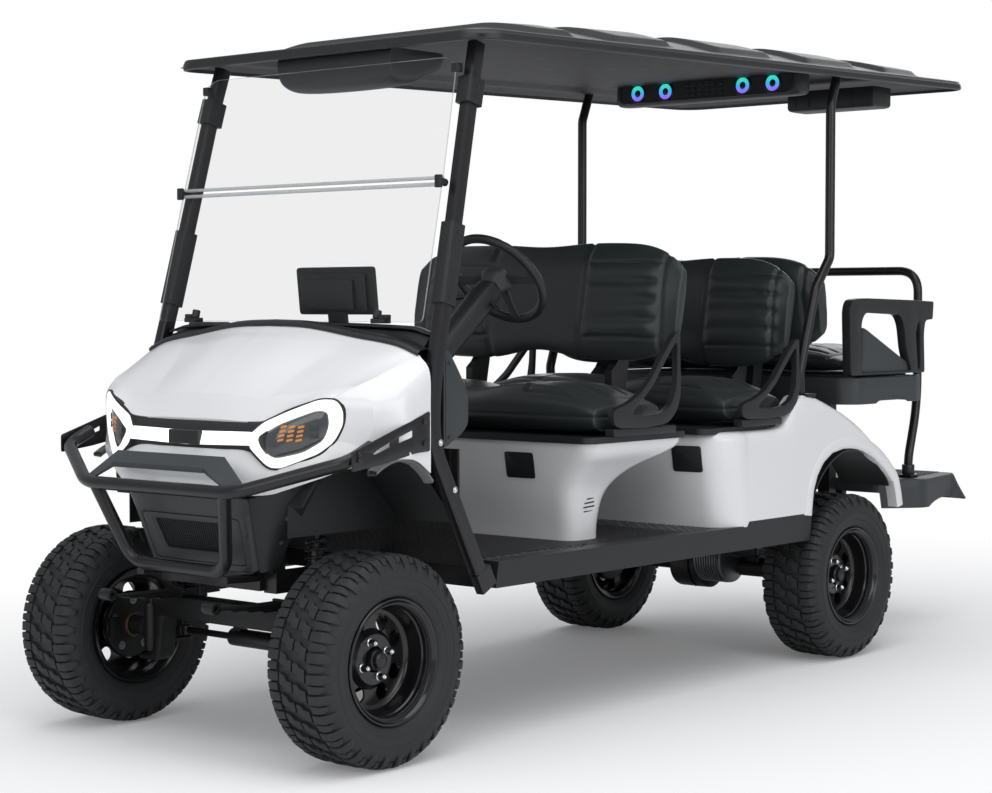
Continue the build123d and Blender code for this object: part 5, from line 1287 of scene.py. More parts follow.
# black panels from the lower panel's sides back to the arches
rows = []
for t in (k / 8 for k in range(9)):
    bulge = Vector((0.010, -0.006, 0)) * math.sin(math.pi * t)
    rows.append([fascia_point(1.0, v, 8).lerp(at(238 + 166 * v ** 1.15, -60, 525 + 251 * v), t) + bulge
                 for v in (j / 8 for j in range(9))])
cheeks.grid(rows)
cheeks.mirror()
cheeks.piece("front_cheeks", BLACK_PLASTIC, "trim_black", shell=0.004, angle=40)
for side in SIDES:
    for x, d, z in ((316, -98, 668), (275, -88, 600)):
        bolt(cheek_bolts, at(side * x, d, z), Vector((side * 0.6, -0.8, 0)), 6, 4)
cheek_bolts.piece("cheek_clips", SATIN_BLACK, "trim_black")

# grey lip along the front arch
line = spline([Vector((0, d, z)) for d, z in ((-34, 806), (-5, 822), (36, 836), (76, 839), (122, 828), (162, 803),
                                              (192, 772))], 6)
arch_lip.grid([[at(590 - inward, p.y, p.z + rise) for p in line] for inward, rise in
               ((4, 0), (0, -3), (0, -9), (4, -12), (34, -14), (36, -8), (34, 2))], close_v=True)
arch_lip.mirror()
arch_lip.piece("arch_lips", TRIM_GREY, "trim_charcoal", angle=45)


# ---------------------------------------------------------------- armrests, outlines as (distance, height)
ARM_OUTER = [(1006, 912), (1011, 884), (1040, 874), (1180, 870), (1292, 880), (1342, 918), (1364, 975), (1367, 1166),
             (1352, 1169), (1318, 1140), (1262, 1082), (1205, 1020), (1140, 972), (1070, 944), (1018, 934)]
ARM_INNER = [(1102, 914), (1180, 908), (1262, 914), (1312, 938), (1340, 984), (1350, 1060), (1350, 1140),
             (1327, 1120), (1271, 1062), (1214, 1001), (1152, 954), (1114, 931)]
ARM_LOW, ARM_X, ARM_LEAN, BENCH_SHIFT = 874, 598, 7, 706
arms, arm_feet, louvres = Form(), Form(), Form()
arm_loop, arm_hole = spaced(rounded_pairs(ARM_OUTER, 26, 5), 110), spaced(rounded_pairs(ARM_INNER, 16, 4), 70)
# each bench: shift behind the front one, share of its arms' height, end of its feet
for shift, squash, feet_end in ((0, 1.0, 1340), (BENCH_SHIFT, 0.89, 1960)):
    for side in SIDES:
        sheet(arms, arm_loop, [arm_hole],
              lambda d, z: at(side * (ARM_X - ARM_LEAN * smoothstep(900, 1150, z)), d + shift,
                              ARM_LOW + (z - ARM_LOW) * squash))
        arm_feet.box(at(side * 556, 1014 + shift, 848), at(side * 596, feet_end, 873))
arms.away_from_middle()
arms.piece("moulded_arms", BLACK_PLASTIC, "trim_black", "armrests", shell=0.023, bevel=0.005, segments=3, angle=40,
           bevel_angle=50)
arm_feet.piece("arm_feet", BLACK_PLASTIC, "trim_black", bevel=0.005, segments=3)

# louvres in the front pod's sides
for side in SIDES:
    for k, (start, length) in enumerate(LOUVRES):
        z = 645 - k * 13.0
        half = 449 + (z - 610) * 6 / 45
        ring = rounded([Vector((0, d, z + rise)) for d, rise in ((start, 0), (start + length, 3), (start + length, 8),
                                                                (start, 5))], 2.4, 3)
        louvres.loft([[at(side * (half + out), p.y, p.z) for p in ring] for out in (-5, 0.6)])
louvres.piece("pod_louvres", BLACK_PLASTIC, "trim_black")

# ---------------------------------------------------------------- rear seat's surroundings
HANDLE = [(2462, 1000), (2451, 1236), (2470, 1272), (2547, 1278), (2891, 1272), (3066, 1267), (3060, 1200),
          (3004, 1196), (2992, 1150), (3000, 1000)]
HANDLE_HOLE = [(2532, 1008), (2534, 1196), (2562, 1226), (2812, 1218), (2842, 1180), (2862, 1082), (2902, 1008)]
HANDLE_SLOT = [(2930, 1150), (2954, 1200), (2966, 1150), (2968, 1012), (2948, 1012)]
FILLER = [(2548, 1000), (2556, 1172), (2584, 1164), (2880, 1040), (2896, 1000)]
HANDLE_X, FILLER_X = 566, 556
handles, fillers = Form(), Form()
for side in SIDES:
    sheet(handles, spaced(rounded_pairs(HANDLE, [6, 44, 30, 60, 20, 6, 6, 14, 30, 6], 5), 150),
          [spaced(rounded_pairs(HANDLE_HOLE, [4, 26, 20, 34, 30, 30, 4], 5), 90),
           spaced(rounded_pairs(HANDLE_SLOT, [6, 8, 10, 4, 4], 4), 40)], lambda d, z: at(side * HANDLE_X, d, z))
    sheet(fillers, rounded_pairs(FILLER, 8, 3), [], lambda d, z: at(side * FILLER_X, d, z))
for form in (handles, fillers):
    form.away_from_middle()
handles.piece("side_handles", BLACK_PLASTIC, "trim_black", "rear_handles", shell=0.036, bevel=0.007, segments=3,
              angle=40, bevel_angle=50)
fillers.piece("handle_fillers", CHARCOAL, "trim_charcoal", shell=0.012, bevel=0.003, angle=40)


def closed_plan(pairs, radii, spacing, middle):
    """Closed outline of (x, distance) seen from above, from one half; yields points and outward normals."""
    path = rounded([Vector((x, d, 0)) for x, d in pairs], radii, 5, closed=False)
    half = subdivided(path, spacing) + [path[-1]]
    full = [Vector((-p.x, p.y, 0)) for p in reversed(half[1:-1])] + half
    for i, p in enumerate(full):
        run = direction(full, i, closed=True)
        normal = Vector((run.y, -run.x, 0))
        yield p, -normal if normal.dot(p - Vector((0, middle, 0))) < 0 else normal


# seat box: chamfered corners, rolled rim, arch cut into each side
BOX_PLAN = [(0, 2484), (250, 2484), (508, 2486), (560, 2532), (560, 2950), (540, 3018), (250, 3020), (0, 3020)]
BOX_LOW, ARCH_START, ARCH_END, ARCH_RISE = 893, 2655, 2885, 27
box, hoop, sockets, socket_bolts = Form(), Form(), Form(), Form()
columns = []
for p, normal in closed_plan(BOX_PLAN, [0, 5, 26, 26, 20, 16, 5, 0], 22, 2750):
    low = BOX_LOW
    if abs(p.x) > 500 and ARCH_START < p.y < ARCH_END:
        low += ARCH_RISE * math.sin(math.pi * (p.y - ARCH_START) / (ARCH_END - ARCH_START)) ** 0.8
    column = []
    for inset, z in ((26, 903), (4, 903), (3, low), (0, low + 1.5), (0, 940), (0, 984), (1.5, 988.5), (5, 990.5),
                     (26, 990.5), (30, 986), (32, 905)):
        q = p - normal * inset
        column.append(at(q.x, q.y, z))
    columns.append(column)
made = box.grid(columns, close_v=True)
box.face([column[-1] for column in made])
box.face([column[0] for column in reversed(made)])
for side in SIDES:
    box.box(at(side * 300, 2993, 990), at(side * 316, 3007, 1005))
box.tube([at(x, 3000, 998) for x in (-316, 316)], 0.004, sides=12)
box.piece("seat_box", CHARCOAL, "trim_charcoal", "rear_seat_box", angle=35)

# rear hoop in its sockets
HOOP_X, HOOP_FOOT_D = 440, 3106
leg = placed([(HOOP_X, HOOP_FOOT_D, 592), (HOOP_X, HOOP_FOOT_D, 665), (HOOP_X, 3171, 868), (HOOP_X, 3171, 1386)])
hoop.tube(rounded(leg + [mirrored(p) for p in reversed(leg)], [0, 0.09, 0.10, 0.085, 0.085, 0.10, 0.09, 0], 9,
                  closed=False), 0.0168, sides=22)
hoop.piece("grab_hoop", SATIN_BLACK, "frame_black", "rear_hoop", angle=40)
SOCKETS = [((412, 3076, 590), (468, 3136, 602)), ((HOOP_X, HOOP_FOOT_D, 600), (HOOP_X, HOOP_FOOT_D, 640), 0.024),
           ((436, 3078, 600), (444, 3096, 640))]
for side in SIDES:
    fittings(sockets, SOCKETS, side, sides=20)
    bolt(socket_bolts, at(side * HOOP_X, 3130, 628), BACK, 5.5, 6)
    for dx in (-20, 20):
        bolt(socket_bolts, at(side * HOOP_X + dx, 3128, 602), UP, 4, 3)
sockets.piece("hoop_sockets", SATIN_BLACK, "frame_black", bevel=0.003)
socket_bolts.piece("hoop_bolts", CHROME, "frame_black")

# foot platform: top narrowing to the rear, skirt with an arch, ribs underfoot
STEP_PLAN = [(0, 2932), (400, 2932), (437, 2960), (520, 3062), (523, 3100), (470, 3424), (380, 3428), (0, 3428)]
STEP_TOP, STEP_LOW, STEP_BACK = 590, 480.0, 3477
platform, ribs, carriers = Form(), Form(), Form()
columns = []
for p, normal in closed_plan(STEP_PLAN, [0, 20, 30, 30, 14, 18, 5, 0], 24, 3180):
    low = STEP_LOW
    if p.y > 3120:
        low += 26 * math.sin(math.pi * min((p.y - 3120) / 320, 1)) ** 0.7
    if p.y > 3420:
        low = 484.0
    if p.y < 2940:
        low = 540.0
    flare = 48.0 * smoothstep(3380, 3424, p.y) + 6
    column = []
    for t, inset in ((0.0, 4), (0.0, 0), (0.3, 0), (0.6, 0), (0.9, 0), (0.965, 2), (1.0, 7), (1.0, 20)):
        q = p + normal * (flare * (1 - t) ** 1.2 - inset)
        column.append(at(q.x, min(q.y, STEP_BACK), low + (STEP_TOP - low) * t))
    columns.append(column)
platform.face([column[-1] for column in platform.grid(columns, close_v=True)])
platform.weld()
platform.piece("step_platform", CHARCOAL, "trim_charcoal", "foot_platform", angle=35)
for d in (3190 + k * 26 for k in range(9)):
    half = 500 - (d - 3100) * 0.163 - 38
    ring = rounded(placed([(-half, d - 5, STEP_TOP), (half, d - 5, STEP_TOP), (half, d + 5, STEP_TOP),
                           (-half, d + 5, STEP_TOP)]), 0.005, 3)
    ribs.loft([ring, [p + UP * 0.0028 for p in ring]])
ribs.piece("step_ribs", CHARCOAL, "trim_charcoal")
for side in SIDES:
    fittings(carriers, [((195, 2960, 543), (235, 3400, 583)), ((197, 2962, 460), (233, 2998, 583))], side)
carriers.piece("platform_arms", SATIN_BLACK, "frame_black", bevel=0.003)

# tail lamps
LAMP_X, LAMP_Z = 470, 640
lenses, bezels = Form(), Form()
for side in SIDES:
    ring = upright(442, 498, 598, 682, 14, 5)

    def lamp_ring(d, wide=1.0, tall=1.0):
        return [at(side * (LAMP_X + (p.x - LAMP_X) * wide), d, LAMP_Z + (p.z - LAMP_Z) * tall) for p in ring]

    bezels.loft([lamp_ring(d) for d in (2752, 2768)])
    lenses.loft([lamp_ring(2766, 0.84, 0.88), lamp_ring(2771, 0.84, 0.88), lamp_ring(2774, 0.6, 0.7)])
lenses.piece("tail_lenses", RED_LENS, "lamp_red", "tail_lamps", angle=60)
bezels.piece("tail_bezels", BLACK_PLASTIC, "trim_black", bevel=0.002)


# ---------------------------------------------------------------- cockpit
# display: housing with a stepped back towards the windscreen, glass towards the riders
DISPLAY_MIDDLE = at(147, 265, 1292)
DISPLAY_UP = Vector((0, -15.5, 138)).normalized()
DISPLAY_OUT = RIGHT.cross(DISPLAY_UP).normalized()


def on_display(x, up, out):
    return DISPLAY_MIDDLE + (RIGHT * x + DISPLAY_UP * up + DISPLAY_OUT * out) * MM


def display_slab(form, half_x, low, high, start, end, corner, shift=0.0):
    ring = upright(shift - half_x, shift + half_x, low, high, corner, 5)
    form.loft([[on_display(p.x, p.z, out) for p in ring] for out in (start, end)])


housing, glass, screws = Form(), Form(), Form()
for slab in ((155, -69, 69, -11, 4, 12), (128, -60, 50, 3, 14, 6), (100, -54, 34, 13, 26, 5, -14),
             (36, -112, -40, -6, 8, 6)):
    display_slab(housing, *slab)
display_slab(glass, 146, -60, 60, -13, -9, 8)
for x, up in [(-140 + 28 * k, 62) for k in range(11)] + [(x, up) for up in (-50, -10, 30) for x in (-146, 146)]:
    bolt(screws, on_display(x, up, 4), DISPLAY_OUT, 2.6, 1.6)
housing.piece("display_housing", BLACK_PLASTIC, "display_black", "display_screen", bevel=0.003, segments=3)
glass.piece("display_glass", SCREEN, "display_black", bevel=0.001)
screws.piece("display_screws", SATIN_BLACK, "display_black")

# dashboard: padded shelf, upright face and knee panel in one skin, as (distance, height)
DASH_LINE = [(232, 1192), (240, 1198), (268, 1196), (300, 1182), (322, 1158), (330, 1130), (322, 1100), (308, 1078),
             (306, 1050), (318, 1036), (330, 1020), (331, 985), (326, 940), (330, 900), (330, 856)]
DASH_HALF, DASH_FRONT, DASH_CROWN, DASH_DROP = 543, 232, 14, 12
# panel that closes the gap between the hood's rear edge and the dashboard: distance, height, share of the fall
PLENUM = ((176, 1096, 0.3), (200, 1132, 0.6), (222, 1164, 0.9), (236, 1184, 1), (246, 1185, 1))
dash, plenum, bins, rims, switches = [Form() for _ in range(5)]
profile = spline([Vector((0, d, z)) for d, z in DASH_LINE], 4)
rows = []
for x in (DASH_HALF * u for u in bunched(48, 1.3)):
    end = smoothstep(1.0, 0.86, abs(x) / DASH_HALF)
    crown = DASH_CROWN * (abs(x) / DASH_HALF) ** 2
    rows.append([at(x, DASH_FRONT + (p.y - DASH_FRONT) * (0.72 + 0.28 * end), p.z - crown * smoothstep(1060, 1180, p.z)
                    - (1 - end) * DASH_DROP * smoothstep(1080, 1180, p.z)) for p in profile])
dash.grid(rows)
dash.piece("dash_skin", BLACK_PLASTIC, "trim_black", "dashboard", shell=0.004, angle=40)
rows = []
for x in (-536 + 1072 * k / 24 for k in range(25)):
    fall = DASH_CROWN * (x / DASH_HALF) ** 2 + DASH_DROP * smoothstep(0.86, 1.0, abs(x) / DASH_HALF)
    rows.append([at(x, d, z - fall * share) for d, z, share in PLENUM])
plenum.grid(rows)
plenum.piece("dash_plenum", BLACK_PLASTIC, "trim_black", shell=0.003, angle=40)

for x0, x1, z0, z1 in ((-500, -300, 1092, 1150), (-270, -60, 1092, 1150), (110, 190, 1100, 1146)):
    ring = upright(x0, x1, z0, z1, 12)
    cx, cz = (x0 + x1) / 2, (z0 + z1) / 2
    inner = [Vector((cx + (p.x - cx) * 0.93, 0, cz + (p.z - cz) * 0.82)) for p in ring]
    rims.loft([[at(p.x, d, p.z) for p in points] for points, d in ((ring, 333), (ring, 336), (inner, 336),
                                                                   (inner, 330))], cap=False)
    bins.loft([[at(p.x, d, p.z) for p in inner] for d in (331, 333.5)])
for x in (-440, -370, 20, 80):
    rims.lathe([(0, 0.040), (0.010, 0.040), (0.014, 0.036), (0.010, 0.032), (-0.004, 0.031), (0, 0.040)],
               at(x, 272, 1186), UP, steps=28)
    bins.lathe([(0.001, 0.0001), (0.001, 0.031), (0.002, 0.031), (0.002, 0.0001)], at(x, 272, 1188), UP, steps=28,
               close=False)
for x in (212, 236, 440, 464):
    switches.box(at(x - 8, 322, 1108), at(x + 8, 337, 1134))
switches.lathe([(0, 0.0001), (0, 0.014), (0.008, 0.014), (0.010, 0.011), (0.010, 0.0001)], at(250, 328, 1074),
               Vector((0, 1, -0.1)), steps=20, close=False)
rims.piece("dash_rims", CHARCOAL, "trim_charcoal", angle=40)
bins.piece("dash_wells", BLACK_PLASTIC, "trim_black", bevel=0.001)
switches.piece("dash_switches", SATIN_BLACK, "trim_black", bevel=0.002, segments=3)

# steering column: fixed shroud and shaft, stalk and key at its sides; the wheel hangs on a body of its own
COLUMN_TILT = math.radians(50)
WHEEL_MIDDLE = at(330, 774, 1330)
DOWN_COLUMN = Vector((0, -math.sin(COLUMN_TILT), -math.cos(COLUMN_TILT)))
WHEEL_UP = Vector((0, -math.cos(COLUMN_TILT), math.sin(COLUMN_TILT)))
GRIP_REACH, GRIP_RADIUS = 156.0, 14
# the shroud's sections: distance down the column, half width, half height
SHROUD = ((46, 30, 28), (50, 38, 36), (90, 40, 39), (150, 39, 39), (230, 37, 38), (320, 35, 36), (346, 34, 34),
          (350, 28, 28))
# a spoke's sections: reach, half width, half thickness, height over the hub
SPOKE = ((26, 26, 5, 6), (60, 19, 4, 3), (100, 15, 3.5, 0), (135, 17, 3.5, -1), (150, 21, 3.5, -1))
HUB = ((30, 40), (46, 14), (50, 2), (48, -6), (42, -11), (26, -14))
HUB_PAD = ((33, -11), (33, -15), (29, -17))


def on_column(along, a=0.0, b=0.0):
    return WHEEL_MIDDLE + (DOWN_COLUMN * along + RIGHT * a + WHEEL_UP * b) * MM


def hub_ring(size, along):
    return [on_column(along, a, b) for a, b in superloop(size, size * 0.86, 2.8, 36)]


shroud, grip, spokes, pad = Form(), Form(), Form(), Form()
shroud.loft([[on_column(along, a, b) for a, b in superloop(wide, tall, 2.8, 36)] for along, wide, tall in SHROUD])
shroud.tube([on_column(344), on_column(664)], 0.0195, sides=20)
shroud.tube([on_column(84, -36, 0), on_column(96, -70, 8), on_column(104, -96, 12)], [0.007, 0.006, 0.008], sides=12)
shroud.tube([on_column(96, 34, -6), on_column(112, 54, -16), on_column(118, 60, -20)], [0.008, 0.007, 0.010],
            sides=12)
shroud.piece("column_shroud", BLACK_PLASTIC, "trim_black", "steering_column", angle=45)
rows = []
for t in circle(96):
    # finger grips round the upper part of the rim, smooth where the spokes meet it
    swell = 14 + (1.44 if abs(math.sin(t)) < 0.42 else 0)
    if 0.30 < math.sin(t) < 0.85:
        swell -= 0.9 * (0.5 + 0.5 * math.cos(t * 32))
    swell = min(swell, GRIP_RADIUS)
    reach = [GRIP_REACH + swell * math.cos(s) for s in circle(20)]
    rows.append([on_column(swell * math.sin(s), math.cos(t) * r, math.sin(t) * r) for s, r in zip(circle(20), reach)])
grip.grid(rows, close_u=True, close_v=True)
grip.piece("wheel_grip", BLACK_PLASTIC, "trim_black", "steering_wheel", body="steering_wheel", angle=60)
for angle in (0, 180, 270):
    c, s = math.cos(math.radians(angle)), math.sin(math.radians(angle))
    spokes.loft([[on_column(b - sink + 4, c * reach - s * a, s * reach + c * a)
                  for a, b in superloop(wide, thick, 3.0, 20)] for reach, wide, thick, sink in SPOKE])
spokes.loft([hub_ring(*section) for section in HUB])
spokes.piece("wheel_spokes", CHARCOAL, "trim_black", body="steering_wheel", angle=50)
pad.loft([hub_ring(*section) for section in HUB_PAD])
pad.piece("wheel_pad", SATIN_BLACK, "trim_black", body="steering_wheel", bevel=0.001)

# pedals: arm, plate and ribs
PEDAL_UP, PEDAL_OUT = Vector((0, -0.72, 0.69)), Vector((0, 0.69, 0.72))
pedals = Form()
for mid, wide in ((250, 88), (390, 58)):
    sweep(pedals, placed([(mid, 470, 562), (mid, 462, 590), (mid, 440, 648)]), 0.016, 0.010, 0.003)

    def on_pedal(x, up, out):
        return at(mid, 452, 624) + (RIGHT * x + PEDAL_UP * up + PEDAL_OUT * out) * MM

    ring = upright(-wide / 2, wide / 2, 0, 92, 10)
    pedals.loft([[on_pedal(p.x, p.z, out) for p in ring] for out in (-5, 3)])
    for k in range(5):
        pedals.tube([on_pedal(wide * share, 14 + k * 15, 4) for share in (-0.4, 0.4)], 0.003, sides=8)
pedals.piece("foot_pedals", SATIN_BLACK, "frame_black", "pedals", bevel=0.001)

# ---------------------------------------------------------------- under the roof
# overhead console, a moulded pod curving up to its ends
CONSOLE = [(404, 2004), (402, 1950), (412, 1905), (452, 1886), (520, 1892), (640, 1948), (656, 2004)]
CONSOLE_FRONT, CONSOLE_TOP, CONSOLE_TALL = 404, 2004, 118
console, bar, faceplate, cones, glow_rings, keys, amp = [Form() for _ in range(7)]
rings = []
for u, x in zip(bunched(32, 1), bunched(32, 1.5)):
    end = max(1 - abs(u) ** 6, 0.0) ** 0.5
    tall = CONSOLE_TOP - (1892 + 26 * (1 - end) + 10 * u * u)
    rings.append([at(236 * x, CONSOLE_FRONT + (d - CONSOLE_FRONT) * (0.9 + 0.1 * end),
                     CONSOLE_TOP - (CONSOLE_TOP - z) / CONSOLE_TALL * tall) for d, z in rounded_pairs(CONSOLE, 22, 4)])
console.loft(rings)
console.piece("console_pod", CHARCOAL, "trim_black", "overhead_console", angle=50)

# sound bar: rounded casing, lit rings round its speakers, keys between them
FACE_Z = 2051
rings = []
for u, x in zip(bunched(40, 1), bunched(40, 1.4)):
    size = 0.72 + 0.28 * max(1 - abs(u) ** 14, 0.0) ** 0.5
    rings.append([at(408 * x, 2394 + a * size, 2050 + b * size) for a, b in superloop(43, 46, 3.4, 36)])
bar.loft(rings)
bar.piece("sound_bar_body", CHARCOAL, "trim_black", "sound_bar", angle=45)
ring = upright(-386, 386, 2014, 2088, 32, 7)
lip = [Vector((p.x * 0.985, 0, FACE_Z + (p.z - FACE_Z) * 0.86)) for p in ring]
faceplate.loft([[at(p.x, d, p.z) for p in points] for points, d in ((ring, 2354), (ring, 2346.5), (lip, 2346.5),
                                                                    (lip, 2350))], cap=False)
faceplate.face(faceplate.verts([at(p.x, 2350, p.z) for p in lip]))
faceplate.piece("sound_bar_face", BLACK_PLASTIC, "trim_black", angle=40)
for x in (-300, -172, 172, 300):
    mid = at(x, 2350, FACE_Z)
    glow_rings.lathe([(0, 0.027), (0.003, 0.0285), (0.0045, 0.026), (0.0045, 0.015), (0.003, 0.0135), (0, 0.014)], mid,
                     -BACK, steps=40)
    cones.lathe([(0.0, 0.013), (0.002, 0.013), (0.004, 0.009), (0.004, 0.0001)], mid, -BACK, steps=28, close=False)
    cones.lathe([(0, 0.029), (0.004, 0.030), (0.005, 0.034), (0.003, 0.037), (0, 0.0372)], mid, -BACK, steps=40,
                close=False)
for x, z in ((-75 + column * 30, 2034 + row * 17) for row in range(3) for column in range(6)):
    keys.box(at(x - 8, 2346.8, z - 4.5), at(x + 8, 2351, z + 4.5))
cones.piece("speaker_cones", SATIN_BLACK, "trim_black", angle=60)
glow_rings.piece("speaker_rings", RING_GLOW, "lamp_lens", angle=60)
keys.piece("sound_bar_keys", BLACK_PLASTIC, "trim_charcoal", bevel=0.001)

# amplifier housing hung under the back of the roof
amp.loft([[at(x, d, z) for x, d in rounded_pairs([(112 + inset, 2740 + inset), (489 - inset, 2740 + inset),
                                                  (489 - inset, 2870 - inset), (112 + inset, 2870 - inset)], 12, 4)]
          for inset, z in ((14, 1984), (4, 1988), (0, 1996), (0, 2060))])
for x in (150, 210, 390, 450):
    amp.box(at(x - 3, 2737, 1994), at(x + 3, 2742, 2056))
amp.piece("roof_amplifier", BLACK_PLASTIC, "trim_black", bevel=0.002, angle=40)

# ---------------------------------------------------------------- floor treads, cut off at the floor's edges
FLOOR_Z, TREAD_HALF, TREAD_PITCH, TREAD_WIDE = 520.0, 552, 40, 3.2
treads = Form()
for first_d, last_d in ((452, 936), (1452, 1596)):
    span = last_d - first_d
    for lean in SIDES:
        start = -TREAD_HALF - span
        while start < TREAD_HALF + span:
            a, b = Vector((start, first_d, 0)), Vector((start + span, last_d, 0))
            if lean < 0:
                a, b = Vector((start + span, first_d, 0)), Vector((start, last_d, 0))
            run = b - a
            stops = sorted((edge - a.x) / run.x for edge in (-TREAD_HALF, TREAD_HALF))
            first, last = max(0, stops[0]), min(1, stops[1])
            if last - first > 0.03:
                side = Vector((-run.y, run.x, 0)).normalized() * TREAD_WIDE
                treads.loft([[at(r.x + side.x * wide, r.y + side.y * wide, FLOOR_Z + rise)
                              for wide, rise in ((-1, -0.5), (1, -0.5), (0.5, 2.6), (-0.5, 2.6))]
                             for r in (a + run * first, a + run * last)])
            start += TREAD_PITCH
treads.piece("floor_treads", CHARCOAL, "trim_black", angle=30)

# ---------------------------------------------------------------- side guards of the cowl
# rounded plates with a raised inner field, bolted to the struts
GUARD = rounded_pairs([(281, 1124), (300, 1126), (344, 1068), (386, 1000), (385, 912), (352, 884), (281, 850)],
                      [4, 12, 60, 26, 18, 20, 5], 5)
FIELD = rounded_pairs([(287, 1106), (298, 1108), (335, 1058), (374, 996), (373, 918), (346, 896), (287, 866)],
                      [4, 10, 50, 22, 14, 16, 5], 5)
FIELD_TOP = [(330 + (d - 330) * 0.97, 985 + (z - 985) * 0.985) for d, z in FIELD]
guards, fields, guard_bolts = Form(), Form(), Form()
for side in SIDES:
    for form, layers in ((guards, ((545.5, GUARD), (549.5, GUARD))), (fields, ((549, FIELD), (551.5, FIELD_TOP)))):
        form.loft([[at(side * x, d, z) for d, z in line] for x, line in layers])
    for z in (1088, 880):
        bolt(guard_bolts, at(side * 551, 300, z), RIGHT * side, 4.5, 0.9)
guards.outward()
fields.outward()
guards.piece("cowl_guards", CHARCOAL, "trim_charcoal", "cowl_side_guards", bevel=0.0012, segments=3, angle=40)
fields.piece("cowl_guard_fields", CHARCOAL, "trim_charcoal", bevel=0.0008, angle=40)
guard_bolts.piece("cowl_guard_bolts", SATIN_BLACK, "frame_black")


# ---------------------------------------------------------------- suspension and axles
REAR_D, HUB_Z, EYE_Z, SPRING_X, KINGPIN_X = 2390, 292, 432.0, 215, 365


def leaf_pack(form, side, mid_d, seat_z, half, leaves=4):
    """Curved leaves, each shorter than the one above, with rolled eyes and clamps."""
    for k in range(leaves):
        reach = half * (1 - 0.2 * k)
        sweep(form, [at(side * SPRING_X, mid_d + u * reach,
                        seat_z + 21 - 6 * k + (EYE_Z - 8 - seat_z - 18) * (u * reach / half) ** 2)
                     for u in bunched(16, 1)], 0.044, 0.0052, 0.0012)
    for end in SIDES:
        form.lathe([(-0.022, 0.008), (-0.022, 0.017), (0.022, 0.017), (0.022, 0.008)],
                   at(side * SPRING_X, mid_d + end * half, EYE_Z), RIGHT, steps=24)
    for d in (mid_d - 34, mid_d + 34):
        form.box(at(side * 191, d - 5, seat_z + 1), at(side * 239, d + 5, seat_z + 30))


def fins(start, pitch, count, steps):
    """Profile of a ribbed barrel; steps are the distances and radii of one rib."""
    return [(start + pitch * k + along, radius) for k in range(count) for along, radius in steps]


# dampers with their coils and bellows
COIL_TURNS, COIL_RADIUS, COIL_STEPS = 7.5, 0.0275, 192
BELLOWS = [(0.226, 0.020)] + fins(0.230, 0.0072, 11, ((0, 0.0235), (0.0036, 0.0185))) + [
    (0.307, 0.020), (0.307, 0.002), (0.226, 0.002)]
springs, rear_springs, shafts, coils, bellows = [Form() for _ in range(5)]
for side in SIDES:
    leaf_pack(springs, side, 0, 400, 290)
    foot, head = at(side * 275, 45, 404), at(side * 275, 55, 716)
    run = (head - foot).normalized()
    across = run.cross(BACK).normalized()
    deep = run.cross(across)
    shafts.tube([foot, head], 0.0105, sides=18)
    shafts.tube([foot + run * 0.036, foot + run * 0.17], 0.0225, sides=24)
    for along, radius in ((0.030, 0.033), (0.036, 0.033), (0.218, 0.034), (0.224, 0.034)):
        shafts.tube([foot + run * along, foot + run * (along + 0.004)], radius, sides=28)
    for end, shift in ((foot, 0.012), (head, -0.012)):
        shafts.tube([end + run * shift - across * 0.02, end + run * shift + across * 0.02], 0.016, sides=20)
    path = []
    for t in (k / COIL_STEPS for k in range(COIL_STEPS + 1)):
        turn = AROUND * COIL_TURNS * t
        path.append(foot + run * (0.043 + 0.170 * t) + (across * math.cos(turn) + deep * math.sin(turn)) * COIL_RADIUS)
    coils.tube(path, 0.0042, sides=8)
    bellows.lathe(BELLOWS, foot, run, steps=28)
    leaf_pack(rear_springs, side, REAR_D, 338, 400, 5)
springs.piece("front_leaf_packs", AXLE_GREY, "axle_grey", "front_suspension", bevel=0.0008)
shafts.piece("damper_shafts", SATIN_BLACK, "axle_grey", angle=40)
coils.piece("damper_coils", AXLE_GREY, "axle_grey", angle=60)
bellows.piece("damper_bellows", RUBBER, "trim_black", angle=60)
rear_springs.piece("rear_leaf_packs", AXLE_GREY, "axle_grey", "rear_suspension", bevel=0.0008)

# front beam with drop ends that carry the kingpins
DROP = rounded_pairs([(262, 399), (392, 399), (392, 387), (338, 384), (321, 366), (318, 300), (322, 230), (338, 212),
                      (392, 211), (392, 199), (312, 199), (296, 222), (290, 300), (278, 334), (262, 344)],
                     [4, 5, 3, 16, 20, 30, 20, 14, 3, 5, 18, 24, 30, 12, 6], 4)
beam = Form()
beam.loft([[at(x, d, z) for d, z in rounded_pairs([(-30, 332), (30, 332), (30, 400), (-30, 400)], 7, 4)]
           for x in (-306, 306)])
for side in SIDES:
    front, rear = [beam.verts([at(side * x, d, z) for x, z in DROP]) for d in (-29, 29)]
    for i in range(len(DROP)):
        j = (i + 1) % len(DROP)
        beam.face([front[i], front[j], rear[j], rear[i]])
    beam.face(front[::side])
    beam.face(rear[::-side])
    beam.tube([at(side * KINGPIN_X, 0, z) for z in (199.5, 399.5)], 0.011, sides=20)
    beam.lathe([(0, 0.0001), (0, 0.020), (0.006, 0.020), (0.0085, 0.016), (0.0085, 0.0001)],
               at(side * KINGPIN_X, 0, 391), UP, steps=20, close=False)
beam.outward()
beam.piece("front_beam", AXLE_GREY, "axle_grey", "front_axle_beam", bevel=0.002, angle=40)

